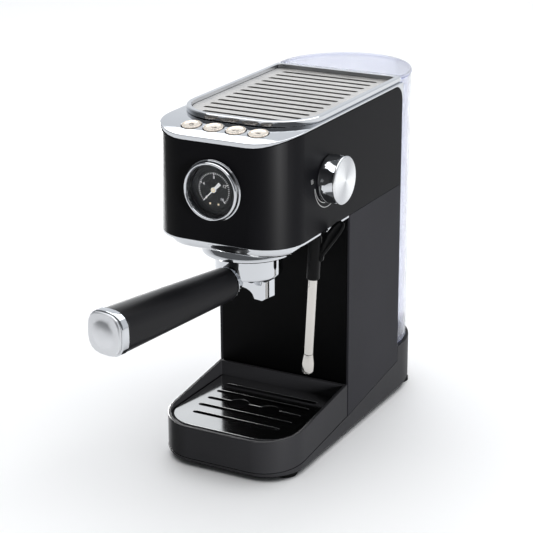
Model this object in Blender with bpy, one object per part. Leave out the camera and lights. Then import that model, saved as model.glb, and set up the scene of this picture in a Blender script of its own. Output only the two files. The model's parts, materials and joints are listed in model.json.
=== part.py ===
"""Slim pump espresso machine: portafilter, steam wand, drip tray and lift-off water tank.

Machine datum: X = 0 is the mid-plane, Y = 0 the front face of the column, Z = 0 the underside of the base.
-Y is the front, where the portafilter handle points. Everything hangs on one empty, which puts the
object's origin on the ground, below the middle of its outline. Sizes are in metres.
"""

import math

import bmesh
import bpy
from mathutils import Matrix, Vector

# ---- Overall form ----
HALF_WIDTH = 0.070
HEAD_FRONT = -0.128  # the front face that the head and the base share
SIDE_REAR = 0.113  # rear edge of the side panels
CORNER_RADIUS = 0.038  # upright front corners
HEAD_BOTTOM = 0.2195
HEAD_HEIGHT = 0.098
SHELL_FRONT_DROP = 0.0085  # how far the top edge rolls down at the front
SHELL_ROLL_LENGTH = 0.036
FOOT_HEIGHT = 0.004
GAP = 0.0003  # between pieces that touch
WALL = 0.0025
EDGE_STEPS = 8  # facets of an upright corner
BEYOND = 0.01  # how far a cutter runs past what it cuts
FAR = 0.12  # half the length of a cutter that runs right across

# ---- Base, tray and column ----
SEAM_HEIGHT = 0.0172  # joint between base and column at the column's front
SEAM_SLOPE_FRONT = 0.103
SEAM_SLOPE_REAR = 0.1345
REAR_BLOCK_TOP = 0.048  # the tank stands on this
BASE_EDGE = 0.004  # rounding of the base's lower edge
BASE_WALL = 0.003
BASE_HOLLOW_FRONT = -0.070  # ahead of this the wedge is too thin to hollow
COVER_THICKNESS = 0.0018
GLAND_RADIUS = 0.0062
GLAND_FLANGE = 0.002
GLAND_LENGTH = 0.010
GLAND_Z = 0.024
CORD_RADIUS = 0.0036
FOOT_RADIUS = 0.011
FOOT_INSET_FRONT = 0.030
FOOT_INSET_SIDE = 0.016
REAR_FOOT_Y = 0.150
RIM_HEIGHT = 0.0505  # tray rim at the column
RIM_SLOPE = 0.117
TRAY_WALL = 0.0035
TRAY_LEDGE = 0.007  # width of the ledge that carries the drip plate
TRAY_FLOOR = 0.003
TRAY_COLUMN_GAP = 0.0012
PLATE_TOP = 0.0362
PLATE_THICKNESS = 0.0012
PLATE_CLEARANCE = 0.0025
DRIP_SLOTS = 5
DRIP_SLOT_PITCH = 0.0173
DRIP_SLOT_FIRST = -0.0254
DRIP_SLOT_MARGIN = 0.0205  # from a slot's end to the machine's side
DRIP_SLOT_WIDTH = 0.0055
FINGER_HOLE_RADIUS = 0.010
FINGER_HOLE_X = 0.0163

# ---- Top ----
DECK_RISE = 0.0023  # how far the deck stands above the shell's top edge
DECK_FRONT_DROP = 0.0062
DECK_ROLL_LENGTH = 0.050
DECK_REAR_RADIUS = 0.014
DECK_INSET = 0.0004
DECK_LAND = 0.004  # what the deck leaves under the cup plate's edge
DECK_OPENING_RADIUS = 0.030
RAIL_INSET = 0.003  # from the shell's side to the rail
RAIL_FRONT = -0.0923
RAIL_RADIUS = 0.045
RAIL_WIDTH = 0.0045
RAIL_EDGE = 0.0008
CUP_PLATE_THICKNESS = 0.0014
CUP_SLOTS = 13
CUP_SLOT_PITCH = 0.0139
CUP_SLOT_REAR = 0.0949
CUP_SLOT_HALF = 0.0508
CUP_SLOT_WIDTH = 0.005
CUP_SLOT_MARGIN = 0.011
BUTTONS = 4
BUTTON_PITCH = 0.0223
BUTTON_RADIUS = 0.00885
BUTTON_Y = -0.1068
BUTTON_HEIGHT = 0.0055
BUTTON_PROUD = 0.0012
BUTTON_CLEARANCE = 0.0007

# ---- Gauge and steam knob ----
GAUGE_RISE = 0.0485  # centre above the head's lower edge
GAUGE_BEZEL_DEPTH = 0.0065
GAUGE_CASE_RADIUS = 0.0236
GAUGE_CASE_WALL = 0.0011
GAUGE_BEZEL_WIDTH = 0.0031  # bezel beyond the case
GAUGE_FLANGE_WIDTH = 0.0013  # flange beyond the bezel
GAUGE_DIAL_RADIUS = GAUGE_CASE_RADIUS - GAUGE_CASE_WALL - GAP
GAUGE_BEZEL_RADIUS = GAUGE_CASE_RADIUS + GAUGE_BEZEL_WIDTH
GAUGE_FLANGE_RADIUS = GAUGE_BEZEL_RADIUS + GAUGE_FLANGE_WIDTH
GAUGE_CASE_DEPTH = 0.026
SHAFT_RADIUS = 0.001
SHAFT_BORE = 0.0014
NEEDLE_LENGTH = 0.0135
NEEDLE_TAIL = 0.0088
NEEDLE_HUB_RADIUS = 0.0024
NEEDLE_REST_DEG = 225.0  # pointing to the lower left, on zero
KNOB_Y = -0.046
KNOB_RISE = 0.0475
KNOB_RADIUS = 0.022
KNOB_REACH = 0.018
KNOB_CAP = 0.0032
KNOB_SCOOPS = 6
SCOOP_RADIUS = 0.010
SCOOP_DEPTH = 0.0034  # at the cap; each scoop runs out half way down the barrel
SCOOP_PHASE_DEG = 10.0
SPINDLE_RADIUS = 0.003
STEAM_VALVE_RADIUS = 0.010

# ---- Group, portafilter and handle ----
GROUP_Y = -0.066
SKIRT_INSET = 0.007
SKIRT_DEPTH = 0.0095
TRIM_HEIGHT = 0.002
COLLAR_HEIGHT = 0.0115
COLLAR_REACH = 0.0117  # collar's outside beyond the bowl
COLLAR_FLANGE = 0.0013  # the collar's inner flange, which carries the ears
EAR_REACH = 0.0052
EAR_HEIGHT = 0.0026
EAR_HALF_DEG = 20.0
UNLOCK_DEG = 35.0
GROUP_HEIGHT = 0.028
BOWL_RADIUS = 0.031
BOWL_WALL = 0.0036
BOWL_DROP = 0.046  # bowl's bottom below the head's lower edge
BASKET_CLEARANCE = 0.005  # between the basket and the bowl's outside
BASKET_WALL = 0.0008
HANDLE_YAW_DEG = 10.7
HANDLE_DROP = 0.0025  # handle's axis below the bowl's bottom
HANDLE_END = 0.1787
HANDLE_ROOT_WIDTH = 0.031
HANDLE_END_WIDTH = 0.039
END_RING = 0.0085
END_CAP = 0.0028
END_FACE = 0.0065  # width of the flat rim round the dome
END_DOME = 0.0032
DOME_SHARE = 0.58  # the dome's width at four fifths of its height
SPOUT_HEIGHT = 0.021
SPOUT_HALF = 0.0245
SPOUT_DEPTH = 0.018
SPOUT_NECK = 0.0205
SPOUT_SHOULDER = 0.003
SPOUT_ROUND = 0.0025
SPOUT_FOOT = 0.011  # width of each outlet's flat end
SPOUT_ARCH = 0.0085
NECK_RADIUS = 0.009
STUD_RADIUS = 0.005
STUD_END = 0.064
DRAIN_RADIUS = 0.004

# ---- Steam wand ----
WAND_INSET = 0.01065  # from the shell's side to the wand's ball
WAND_RISE = 0.0025  # ball's centre above the head's lower edge
WAND_Y = -0.0480
WAND_LEAN_IN_DEG = 2.5
WAND_LEAN_FORWARD_DEG = 1.6
WAND_BALL_RADIUS = 0.005
WAND_NECK_RADIUS = 0.0032
WAND_NECK_END = 0.011
WAND_SOCKET_WALL = 0.0022
WAND_HOLE_RADIUS = 0.0063
WAND_TUBE_RADIUS = 0.0042
WAND_NOZZLE_RADIUS = 0.0056
WAND_NOZZLE_LENGTH = 0.019
WAND_LENGTH = 0.144  # ball centre to nozzle tip
SLEEVE_TOP = 0.0092
SLEEVE_BOTTOM = 0.0515
SLEEVE_RADIUS = 0.0062
SKIRT_CUT_Y = -0.052  # the skirt is cut away beside the wand
SKIRT_CUT_HALF = 0.028
SKIRT_CUT_DEPTH = 0.022
LEVER_WIDTH = 0.011
LEVER_THICKNESS = 0.0034
LEVER_RECESS = 0.0012

# ---- Water tank ----
TANK_FRONT = 0.1165
TANK_INSET = 0.0035  # from the machine's side to the tank
TANK_ARC_Y = 0.124
TANK_REAR = 0.195
TANK_WALL = 0.0022
TANK_CORNER = 0.006
LID_THICKNESS = 0.0028
LID_RISE = 0.0075  # lid's top above the shell's top edge
LID_FRONT = 0.1178
OUTLET_Y = 0.146
OUTLET_RADIUS = 0.009
SEAT_RADIUS = 0.012
SEAT_BORE = 0.0035

# ---- Inside ----
BOILER_CLEARANCE = 0.012  # above the head's lower edge
BOILER_HEIGHT = 0.050
BOILER_EDGE = 0.003
BOARD_CLEARANCE = 0.0035
BOARD_THICKNESS = 0.0016
PUMP_X = 0.020
PUMP_Y = 0.050
PUMP_LOW = 0.085
PUMP_COIL_RADIUS = 0.026
PUMP_BODY_RADIUS = 0.017
PUMP_LENGTH = 0.094
HOSE_X = 0.0
HOSE_Y = 0.090
HOSE_HOLE = 0.006
SUCTION_RADIUS = 0.003
PRESSURE_RADIUS = 0.0028

# ---- Values that follow from the sizes above ----
SHELL_TOP = HEAD_BOTTOM + HEAD_HEIGHT
DECK_TOP = SHELL_TOP + DECK_RISE
LID_TOP = SHELL_TOP + LID_RISE
GAUGE_Z = HEAD_BOTTOM + GAUGE_RISE
KNOB_Z = HEAD_BOTTOM + KNOB_RISE
TRIM_TOP = HEAD_BOTTOM - GAP
TRIM_BOTTOM = TRIM_TOP - TRIM_HEIGHT
SKIRT_TOP = TRIM_BOTTOM - GAP
SKIRT_BOTTOM = SKIRT_TOP - SKIRT_DEPTH
COLLAR_TOP = SKIRT_BOTTOM - GAP
COLLAR_BOTTOM = COLLAR_TOP - COLLAR_HEIGHT
COLLAR_RADIUS = BOWL_RADIUS + COLLAR_REACH
COLLAR_BORE = BOWL_RADIUS + 0.001
GROUP_RADIUS = BOWL_RADIUS + 0.002
BASKET_RADIUS = BOWL_RADIUS - BASKET_CLEARANCE
HANDLE_ROOT = BOWL_RADIUS + 0.001  # distance from the group's axis
EAR_BOTTOM = COLLAR_BOTTOM + COLLAR_FLANGE + GAP
BOWL_TOP = EAR_BOTTOM + EAR_HEIGHT
BOWL_BOTTOM = HEAD_BOTTOM - BOWL_DROP
HANDLE_Z = BOWL_BOTTOM - HANDLE_DROP
SPOUT_BOTTOM = BOWL_BOTTOM - SPOUT_HEIGHT
BASKET_TOP = BOWL_TOP + GAP + 0.001
BASKET_BOTTOM = BOWL_BOTTOM + 0.005
PLATE_Z = PLATE_TOP - PLATE_THICKNESS
DIAL_Y = HEAD_FRONT + 0.0015
SHELL_INNER = HALF_WIDTH - WALL
TANK_HALF = HALF_WIDTH - TANK_INSET
TANK_BOTTOM = REAR_BLOCK_TOP + GAP
TANK_TOP = LID_TOP - LID_THICKNESS - GAP
RAIL_HALF = HALF_WIDTH - RAIL_INSET
RAIL_BOTTOM = DECK_TOP + GAP
RAIL_REAR = TANK_FRONT - 0.001
DECK_REAR = RAIL_REAR
CAP_FACE = HALF_WIDTH + KNOB_REACH
WAND_PIVOT = Vector((HALF_WIDTH - WAND_INSET, WAND_Y, HEAD_BOTTOM + WAND_RISE))
HANDLE_REACH = HANDLE_END + GAP + END_RING + GAP + END_CAP + END_DOME
HANDLE_YAW = math.radians(HANDLE_YAW_DEG)
BLACK = (0.012, 0.012, 0.014, 1.0)
DARK = (0.045, 0.046, 0.050, 1.0)
CHROME = (0.78, 0.79, 0.81, 1.0)
STEEL = (0.62, 0.62, 0.61, 1.0)
SATIN = (0.55, 0.56, 0.58, 1.0)
NICKEL = (0.72, 0.66, 0.56, 1.0)
CLEAR = (0.80, 0.85, 0.95, 1.0)
RUBBER = (0.02, 0.02, 0.02, 1.0)
CREAM = (0.85, 0.84, 0.80, 1.0)
BOARD_GREEN = (0.02, 0.16, 0.06, 1.0)
HOSE_CLEAR = (0.75, 0.76, 0.78, 1.0)


# ---- Scene, materials and mesh helpers ----
AXES = {
    "X": Matrix(((0, 0, 1, 0), (1, 0, 0, 0), (0, 1, 0, 0), (0, 0, 0, 1))),
    "Y": Matrix(((0, 1, 0, 0), (0, 0, 1, 0), (1, 0, 0, 0), (0, 0, 0, 1))),
    "Z": Matrix.Identity(4),
}


def clear_scene():
    for old in list(bpy.data.objects):
        bpy.data.objects.remove(old, do_unlink=True)


def make_material(name, color, roughness, metallic=0.0, transmission=0.0):
    material = bpy.data.materials.new(name)
    material.use_nodes = True
    shader = material.node_tree.nodes["Principled BSDF"]
    shader.inputs["Base Color"].default_value = color
    shader.inputs["Roughness"].default_value = roughness
    shader.inputs["Metallic"].default_value = metallic
    shader.inputs["Transmission Weight"].default_value = transmission
    return material


def make_empty(name, location, parent=None, rotation=(0.0, 0.0, 0.0)):
    empty = bpy.data.objects.new(name, None)
    bpy.context.scene.collection.objects.link(empty)
    empty.location = location
    empty.rotation_euler = rotation
    empty.parent = parent
    return empty


def make_object(
    name, shape, color, roughness=0.4, metallic=0.0, origin=(0, 0, 0), parent=None, transmission=0.0
):
    """Turns a bmesh in the parent's coordinates into an object whose origin is at the given point."""
    bmesh.ops.translate(shape, verts=shape.verts, vec=-Vector(origin))
    bmesh.ops.recalc_face_normals(shape, faces=shape.faces)
    mesh = bpy.data.meshes.new(name)
    shape.to_mesh(mesh)
    shape.free()
    mesh.shade_smooth()
    mesh.set_sharp_from_angle(angle=math.radians(35))
    obj = bpy.data.objects.new(name, mesh)
    bpy.context.scene.collection.objects.link(obj)
    obj.location = origin
    obj.parent = parent or DATUM
    if color:
        mesh.materials.append(make_material(name, color, roughness, metallic, transmission))
    return obj


def make_cutter(name, shape, parent=None):
    cutter = make_object(name, shape, None, parent=parent)
    cutter.hide_render = True
    cutter.display_type = "WIRE"
    return cutter


def combine(target, other, operation="DIFFERENCE"):
    modifier = target.modifiers.new(other.name, "BOOLEAN")
    modifier.operation = operation
    modifier.object = other
    return target


def cut(target, name, shape, parent=None):
    return combine(target, make_cutter(name, shape, parent))


def join(target, name, shape, parent=None):
    return combine(target, make_cutter(name, shape, parent), "UNION")


def arc(center, radii, start, end, steps):
    """Points on an ellipse's arc, angles in degrees, both ends included."""
    points = []
    for i in range(steps + 1):
        angle = math.radians(start + (end - start) * i / steps)
        points.append((center[0] + radii[0] * math.cos(angle), center[1] + radii[1] * math.sin(angle)))
    return points


def loft(rings):
    """A solid through outlines of equal length: each ring is (points, height)."""
    shape = bmesh.new()
    loops = [[shape.verts.new((x, y, z)) for x, y in points] for points, z in rings]
    for low, high in zip(loops, loops[1:]):
        for i in range(len(low)):
            j = (i + 1) % len(low)
            shape.faces.new((low[i], low[j], high[j], high[i]))
    shape.faces.new(reversed(loops[0]))
    shape.faces.new(loops[-1])
    return shape


def prism(points, low, high):
    return loft([(points, low), (points, high)])


def side_prism(profile, low, high):
    """A solid whose (y, z) outline runs across the width from one X to another."""
    shape = prism(profile, low, high)
    shape.transform(AXES["X"])
    return shape


def box(low, high):
    outline = [(low[0], low[1]), (high[0], low[1]), (high[0], high[1]), (low[0], high[1])]
    return prism(outline, low[2], high[2])


def turned(profile, steps=40, center=(0, 0, 0), axis="Z", start=0.0, sweep=360.0):
    """Revolves a closed (radius, height) outline about an axis, all round or through a sector."""
    shape = bmesh.new()
    whole = sweep >= 360.0
    turns = []
    for i in range(steps if whole else steps + 1):
        angle = math.radians(start + sweep * i / steps)
        turns.append([shape.verts.new((r * math.cos(angle), r * math.sin(angle), h)) for r, h in profile])
    pairs = list(zip(turns, turns[1:] + turns[:1])) if whole else list(zip(turns, turns[1:]))
    for here, after in pairs:
        for i in range(len(profile)):
            j = (i + 1) % len(profile)
            shape.faces.new((here[i], after[i], after[j], here[j]))
    if not whole:
        shape.faces.new(turns[0])
        shape.faces.new(reversed(turns[-1]))
    bmesh.ops.remove_doubles(shape, verts=shape.verts, dist=1e-6)
    bmesh.ops.dissolve_degenerate(shape, edges=shape.edges, dist=1e-7)
    shape.transform(Matrix.Translation(Vector(center)) @ AXES[axis])
    return shape


def disc(radius, low, high, steps=40, center=(0, 0, 0), axis="Z", edge=0.0):
    corners = [(radius, low), (radius, high)]
    if edge:
        corners = [(radius - edge, low), (radius, low + edge), (radius, high - edge), (radius - edge, high)]
    return turned([(0, low)] + corners + [(0, high)], steps, center, axis)


def tube_ring(outer, inner, low, high, steps=40, center=(0, 0, 0), axis="Z"):
    return turned([(inner, low), (outer, low), (outer, high), (inner, high)], steps, center, axis)


def merged(*shapes):
    """Puts separate solids into one mesh, which is only used as a cutter."""
    whole = bmesh.new()
    for shape in shapes:
        mesh = bpy.data.meshes.new("piece")
        shape.to_mesh(mesh)
        shape.free()
        whole.from_mesh(mesh)
        bpy.data.meshes.remove(mesh)
    return whole


def slot_outline(half_length, width, y):
    right = arc((half_length - width / 2, y), (width / 2, width / 2), -90, 90, 4)
    left = arc((width / 2 - half_length, y), (width / 2, width / 2), 90, 270, 4)
    return right + left


# ---- Outlines seen from above ----
def front_corners(half, front, radius):
    """Right corner, then left corner, of an outline that is square to the front."""
    right = arc((half - radius, front + radius), (radius, radius), 0, -90, EDGE_STEPS)
    left = arc((radius - half, front + radius), (radius, radius), 270, 180, EDGE_STEPS)
    return right + left


def bay_outline(inset, rear=-TRAY_COLUMN_GAP):
    """Rounded at the front and square at the rear, as the tray, the skirt and the head plate are."""
    corners = front_corners(HALF_WIDTH - inset, HEAD_FRONT + inset, CORNER_RADIUS - inset)
    return [(HALF_WIDTH - inset, rear)] + corners + [(inset - HALF_WIDTH, rear)]


def base_outline(inset=0.0):
    corners = front_corners(HALF_WIDTH - inset, HEAD_FRONT + inset, CORNER_RADIUS - inset)
    rear = arc((0, TANK_ARC_Y), (HALF_WIDTH - inset, TANK_REAR - TANK_ARC_Y - inset), 180, 0, 3 * EDGE_STEPS)
    return corners + rear


def tank_outline(inset=0.0, front=TANK_FRONT):
    half = TANK_HALF - inset
    start = front + inset + TANK_CORNER
    left = arc((TANK_CORNER - half, start), (TANK_CORNER, TANK_CORNER), 270, 180, 3)
    right = arc((half - TANK_CORNER, start), (TANK_CORNER, TANK_CORNER), 0, -90, 3)
    rear = arc((0, TANK_ARC_Y), (half, TANK_REAR - TANK_ARC_Y - inset), 180, 0, 3 * EDGE_STEPS)
    return left + rear[1:-1] + right


def wrap_outline(wall, rear):
    """A wall that runs round the front and both sides, open at the rear."""
    return bay_outline(0.0, rear) + bay_outline(wall, rear)[::-1]


def seam(y):
    return SEAM_HEIGHT + y * (SEAM_SLOPE_FRONT if y < 0 else SEAM_SLOPE_REAR)


def rolled_edge(top, drop, length, steps=8):
    """(y, z) points of an edge that is level, then rolls down to the front face."""
    radius = length * length / (2 * drop)
    points = []
    for i in range(steps + 1):
        along = length * i / steps
        points.append((HEAD_FRONT + length - along, top - along * along / (2 * radius)))
    return points


def rounded_outline(half, front, rear, front_radius, rear_radius):
    corners = front_corners(half, front, front_radius)
    left = arc((rear_radius - half, rear - rear_radius), (rear_radius, rear_radius), 180, 90, 4)
    right = arc((half - rear_radius, rear - rear_radius), (rear_radius, rear_radius), 90, 0, 4)
    return corners + left + right


def rail_outline(inset=0.0):
    rear_radius = max(inset, 0.001)
    return rounded_outline(
        RAIL_HALF - inset, RAIL_FRONT + inset, RAIL_REAR - inset, RAIL_RADIUS - inset, rear_radius
    )


# ---- Base ----
def base_profile(lower, front, rear):
    """(y, z) outline of the wedge and of the block under the tank, lowered by an amount."""
    step = SIDE_REAR + GAP + lower
    return [
        (front, seam(front) - lower),
        (0.0, seam(0.0) - lower),
        (step, seam(step) - lower),
        (step, REAR_BLOCK_TOP - lower),
        (rear, REAR_BLOCK_TOP - lower),
        (rear, -2 * BEYOND),
        (front, -2 * BEYOND),
    ]


def build_base():
    rings = [
        (base_outline(BASE_EDGE), 0.0),
        (base_outline(BASE_EDGE * 0.3), BASE_EDGE * 0.3),
        (base_outline(), BASE_EDGE),
        (base_outline(), REAR_BLOCK_TOP + BEYOND),
    ]
    base = make_object("base_chassis", loft(rings), BLACK, 0.45)
    envelope = side_prism(base_profile(0.0, HEAD_FRONT - BEYOND, TANK_REAR + BEYOND), -FAR, FAR)
    combine(base, make_cutter("base_envelope", envelope), "INTERSECT")
    hollow = make_cutter("base_hollow", prism(base_outline(BASE_EDGE + BASE_WALL), -BEYOND, REAR_BLOCK_TOP))
    inside = side_prism(base_profile(BASE_WALL, BASE_HOLLOW_FRONT, TANK_REAR + BEYOND), -FAR, FAR)
    combine(hollow, make_cutter("base_inside", inside), "INTERSECT")
    combine(base, hollow)
    block_low, block_high = REAR_BLOCK_TOP - BEYOND, REAR_BLOCK_TOP + BEYOND
    seat_hole = disc(SEAT_RADIUS + GAP, block_low, block_high, 24, (0, OUTLET_Y, 0))
    hose_hole = disc(HOSE_HOLE, BASE_EDGE, REAR_BLOCK_TOP, 20, (HOSE_X, HOSE_Y, 0))
    gland_bore = GLAND_RADIUS + GAP
    gland_hole = disc(gland_bore, TANK_REAR - 2 * BEYOND, TANK_REAR + BEYOND, 20, (0, 0, GLAND_Z), "Y")
    cut(base, "base_holes", merged(seat_hole, hose_hole, gland_hole))
    cover_shape = prism(base_outline(BASE_EDGE + BASE_WALL + GAP), 0.0, COVER_THICKNESS)
    cover = make_object("base_cover", cover_shape, DARK, 0.6)
    keep = box((-FAR, BASE_HOLLOW_FRONT + GAP, -BEYOND), (FAR, TANK_REAR + BEYOND, BEYOND))
    combine(cover, make_cutter("cover_envelope", keep), "INTERSECT")
    gland = turned(
        [
            (CORD_RADIUS, TANK_REAR - GLAND_LENGTH),
            (GLAND_RADIUS, TANK_REAR - GLAND_LENGTH),
            (GLAND_RADIUS, TANK_REAR + GAP),
            (GLAND_RADIUS + GLAND_FLANGE, TANK_REAR + GAP),
            (GLAND_RADIUS + GLAND_FLANGE, TANK_REAR + GAP + 0.0015),
            (CORD_RADIUS, TANK_REAR + GAP + 0.0015),
        ],
        20,
        (0, 0, GLAND_Z),
        "Y",
    )
    make_object("cord_gland", gland, RUBBER, 0.7)
    for row, y in (("front", HEAD_FRONT + FOOT_INSET_FRONT), ("rear", REAR_FOOT_Y)):
        for side, sign in (("left", -1), ("right", 1)):
            x = sign * (HALF_WIDTH - FOOT_INSET_SIDE)
            foot = disc(FOOT_RADIUS, -FOOT_HEIGHT, -GAP, 24, (x, y, 0), edge=0.0008)
            make_object(f"foot_{row}_{side}", foot, RUBBER, 0.8)


# ---- Column: two side panels, the front panel and the back panel ----
def build_column():
    side = [
        (0.0, seam(0.0) + GAP),
        (SIDE_REAR, seam(SIDE_REAR) + GAP),
        (SIDE_REAR, HEAD_BOTTOM - GAP),
        (0.0, HEAD_BOTTOM - GAP),
    ]
    make_object("side_panel_right", side_prism(side, SHELL_INNER, HALF_WIDTH), DARK, 0.45)
    make_object("side_panel_left", side_prism(side, -HALF_WIDTH, -SHELL_INNER), DARK, 0.45)
    inner = SHELL_INNER - GAP
    front = box((-inner, 0.0, seam(0.0) + 2 * GAP), (inner, WALL, TRIM_BOTTOM - GAP))
    make_object("column_panel", front, BLACK, 0.4)
    low = seam(SIDE_REAR) + GAP
    back = box((-inner, SIDE_REAR - WALL, low), (inner, SIDE_REAR, SHELL_TOP - DECK_REAR_RADIUS - GAP))
    make_object("back_panel", back, BLACK, 0.5)


# ---- Head: shell, deck, cup rail and cup plate ----
def shell_envelope():
    top = rolled_edge(SHELL_TOP, SHELL_FRONT_DROP, SHELL_ROLL_LENGTH)
    radius = DECK_REAR_RADIUS
    corner = arc((SIDE_REAR - radius, SHELL_TOP - radius), (radius, radius), 0, 90, 6)
    front, low = HEAD_FRONT - BEYOND, HEAD_BOTTOM - BEYOND
    return [(front, low), (SIDE_REAR, low)] + corner + top + [(front, top[-1][1])]


def deck_envelope():
    upper = rolled_edge(DECK_TOP, DECK_FRONT_DROP, DECK_ROLL_LENGTH)
    lower = rolled_edge(SHELL_TOP + GAP, SHELL_FRONT_DROP, SHELL_ROLL_LENGTH)
    radius = DECK_REAR_RADIUS
    corner = arc((SIDE_REAR + GAP - radius, SHELL_TOP + GAP - radius), (radius, radius), 90, 0, 6)
    front = HEAD_FRONT - BEYOND
    ends = [(DECK_REAR, SHELL_TOP - radius), (DECK_REAR, DECK_TOP)]
    return [(front, lower[-1][1])] + lower[::-1] + corner + ends + upper + [(front, upper[-1][1])]


def deck_height(y):
    along = max(HEAD_FRONT + DECK_ROLL_LENGTH - y, 0.0)
    return DECK_TOP - DECK_FRONT_DROP * (along / DECK_ROLL_LENGTH) ** 2


def build_head():
    wrap = prism(wrap_outline(WALL, SIDE_REAR + BEYOND), HEAD_BOTTOM, SHELL_TOP + BEYOND)
    shell = make_object("head_shell", wrap, BLACK, 0.35)
    combine(shell, make_cutter("shell_envelope", side_prism(shell_envelope(), -FAR, FAR)), "INTERSECT")
    gauge_bore = GAUGE_CASE_RADIUS + GAP
    gauge_hole = disc(gauge_bore, HEAD_FRONT - BEYOND, HEAD_FRONT + BEYOND, 40, (0, 0, GAUGE_Z), "Y")
    spindle_bore = SPINDLE_RADIUS + 0.001
    spindle_hole = disc(spindle_bore, HALF_WIDTH - BEYOND, HALF_WIDTH + BEYOND, 16, (0, KNOB_Y, KNOB_Z), "X")
    cut(shell, "shell_holes", merged(gauge_hole, spindle_hole))

    plan = bay_outline(DECK_INSET, DECK_REAR + BEYOND)
    deck = make_object("top_deck", prism(plan, SHELL_TOP - 2 * BEYOND, DECK_TOP + BEYOND), CHROME, 0.2, 1.0)
    combine(deck, make_cutter("deck_envelope", side_prism(deck_envelope(), -FAR, FAR)), "INTERSECT")
    border = RAIL_WIDTH + DECK_LAND
    opening = rounded_outline(
        RAIL_HALF - border, RAIL_FRONT + border, RAIL_REAR - border - DECK_LAND, DECK_OPENING_RADIUS, 0.010
    )
    cut(deck, "deck_opening", prism(opening, SHELL_TOP - BEYOND, DECK_TOP + BEYOND))
    holes = [
        disc(BUTTON_RADIUS + BUTTON_CLEARANCE, -0.02, 0.02, 24, (button_x(i), 0, 0)) for i in range(BUTTONS)
    ]
    cut(deck, "button_holes", merged(*holes), BUTTON_FRAME)

    rings = [
        (rail_outline(), RAIL_BOTTOM),
        (rail_outline(), LID_TOP - RAIL_EDGE),
        (rail_outline(RAIL_EDGE), LID_TOP),
    ]
    rail = make_object("cup_rail", loft(rings), CHROME, 0.12, 1.0)
    cut(rail, "rail_inside", prism(rail_outline(RAIL_WIDTH), RAIL_BOTTOM - BEYOND, LID_TOP + BEYOND))

    plate_inset = RAIL_WIDTH + 0.0005
    plate_shape = prism(rail_outline(plate_inset), RAIL_BOTTOM, RAIL_BOTTOM + CUP_PLATE_THICKNESS)
    plate = make_object("cup_plate", plate_shape, STEEL, 0.3, 1.0)
    slots = []
    for i in range(CUP_SLOTS):
        y = CUP_SLOT_REAR - i * CUP_SLOT_PITCH
        half = min(CUP_SLOT_HALF, rail_half_at(y, plate_inset) - CUP_SLOT_MARGIN)
        slots.append(prism(slot_outline(half, CUP_SLOT_WIDTH, y), RAIL_BOTTOM - BEYOND, RAIL_BOTTOM + BEYOND))
    cut(plate, "cup_slots", merged(*slots))


def rail_half_at(y, inset):
    """Half the rail outline's width at a distance back, less an inset."""
    radius = RAIL_RADIUS - inset
    into = RAIL_FRONT + inset + radius - y
    if into <= 0:
        return RAIL_HALF - inset
    return RAIL_HALF - inset - radius + math.sqrt(max(radius * radius - into * into, 0.0))


def button_x(index):
    return (index - (BUTTONS - 1) / 2) * BUTTON_PITCH


def build_buttons():
    top = BUTTON_PROUD
    profile = [
        (0, top - BUTTON_HEIGHT),
        (BUTTON_RADIUS, top - BUTTON_HEIGHT),
        (BUTTON_RADIUS, top - 0.0007),
        (BUTTON_RADIUS - 0.0006, top),
        (BUTTON_RADIUS - 0.0016, top),
        (BUTTON_RADIUS - 0.0040, top - 0.0006),
        (0, top - 0.0009),
    ]
    for i in range(BUTTONS):
        x = button_x(i)
        button = turned(profile, 24, (x, 0, 0))
        make_object(f"button_{i + 1}", button, NICKEL, 0.25, 1.0, (x, 0, 0), BUTTON_FRAME)


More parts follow.
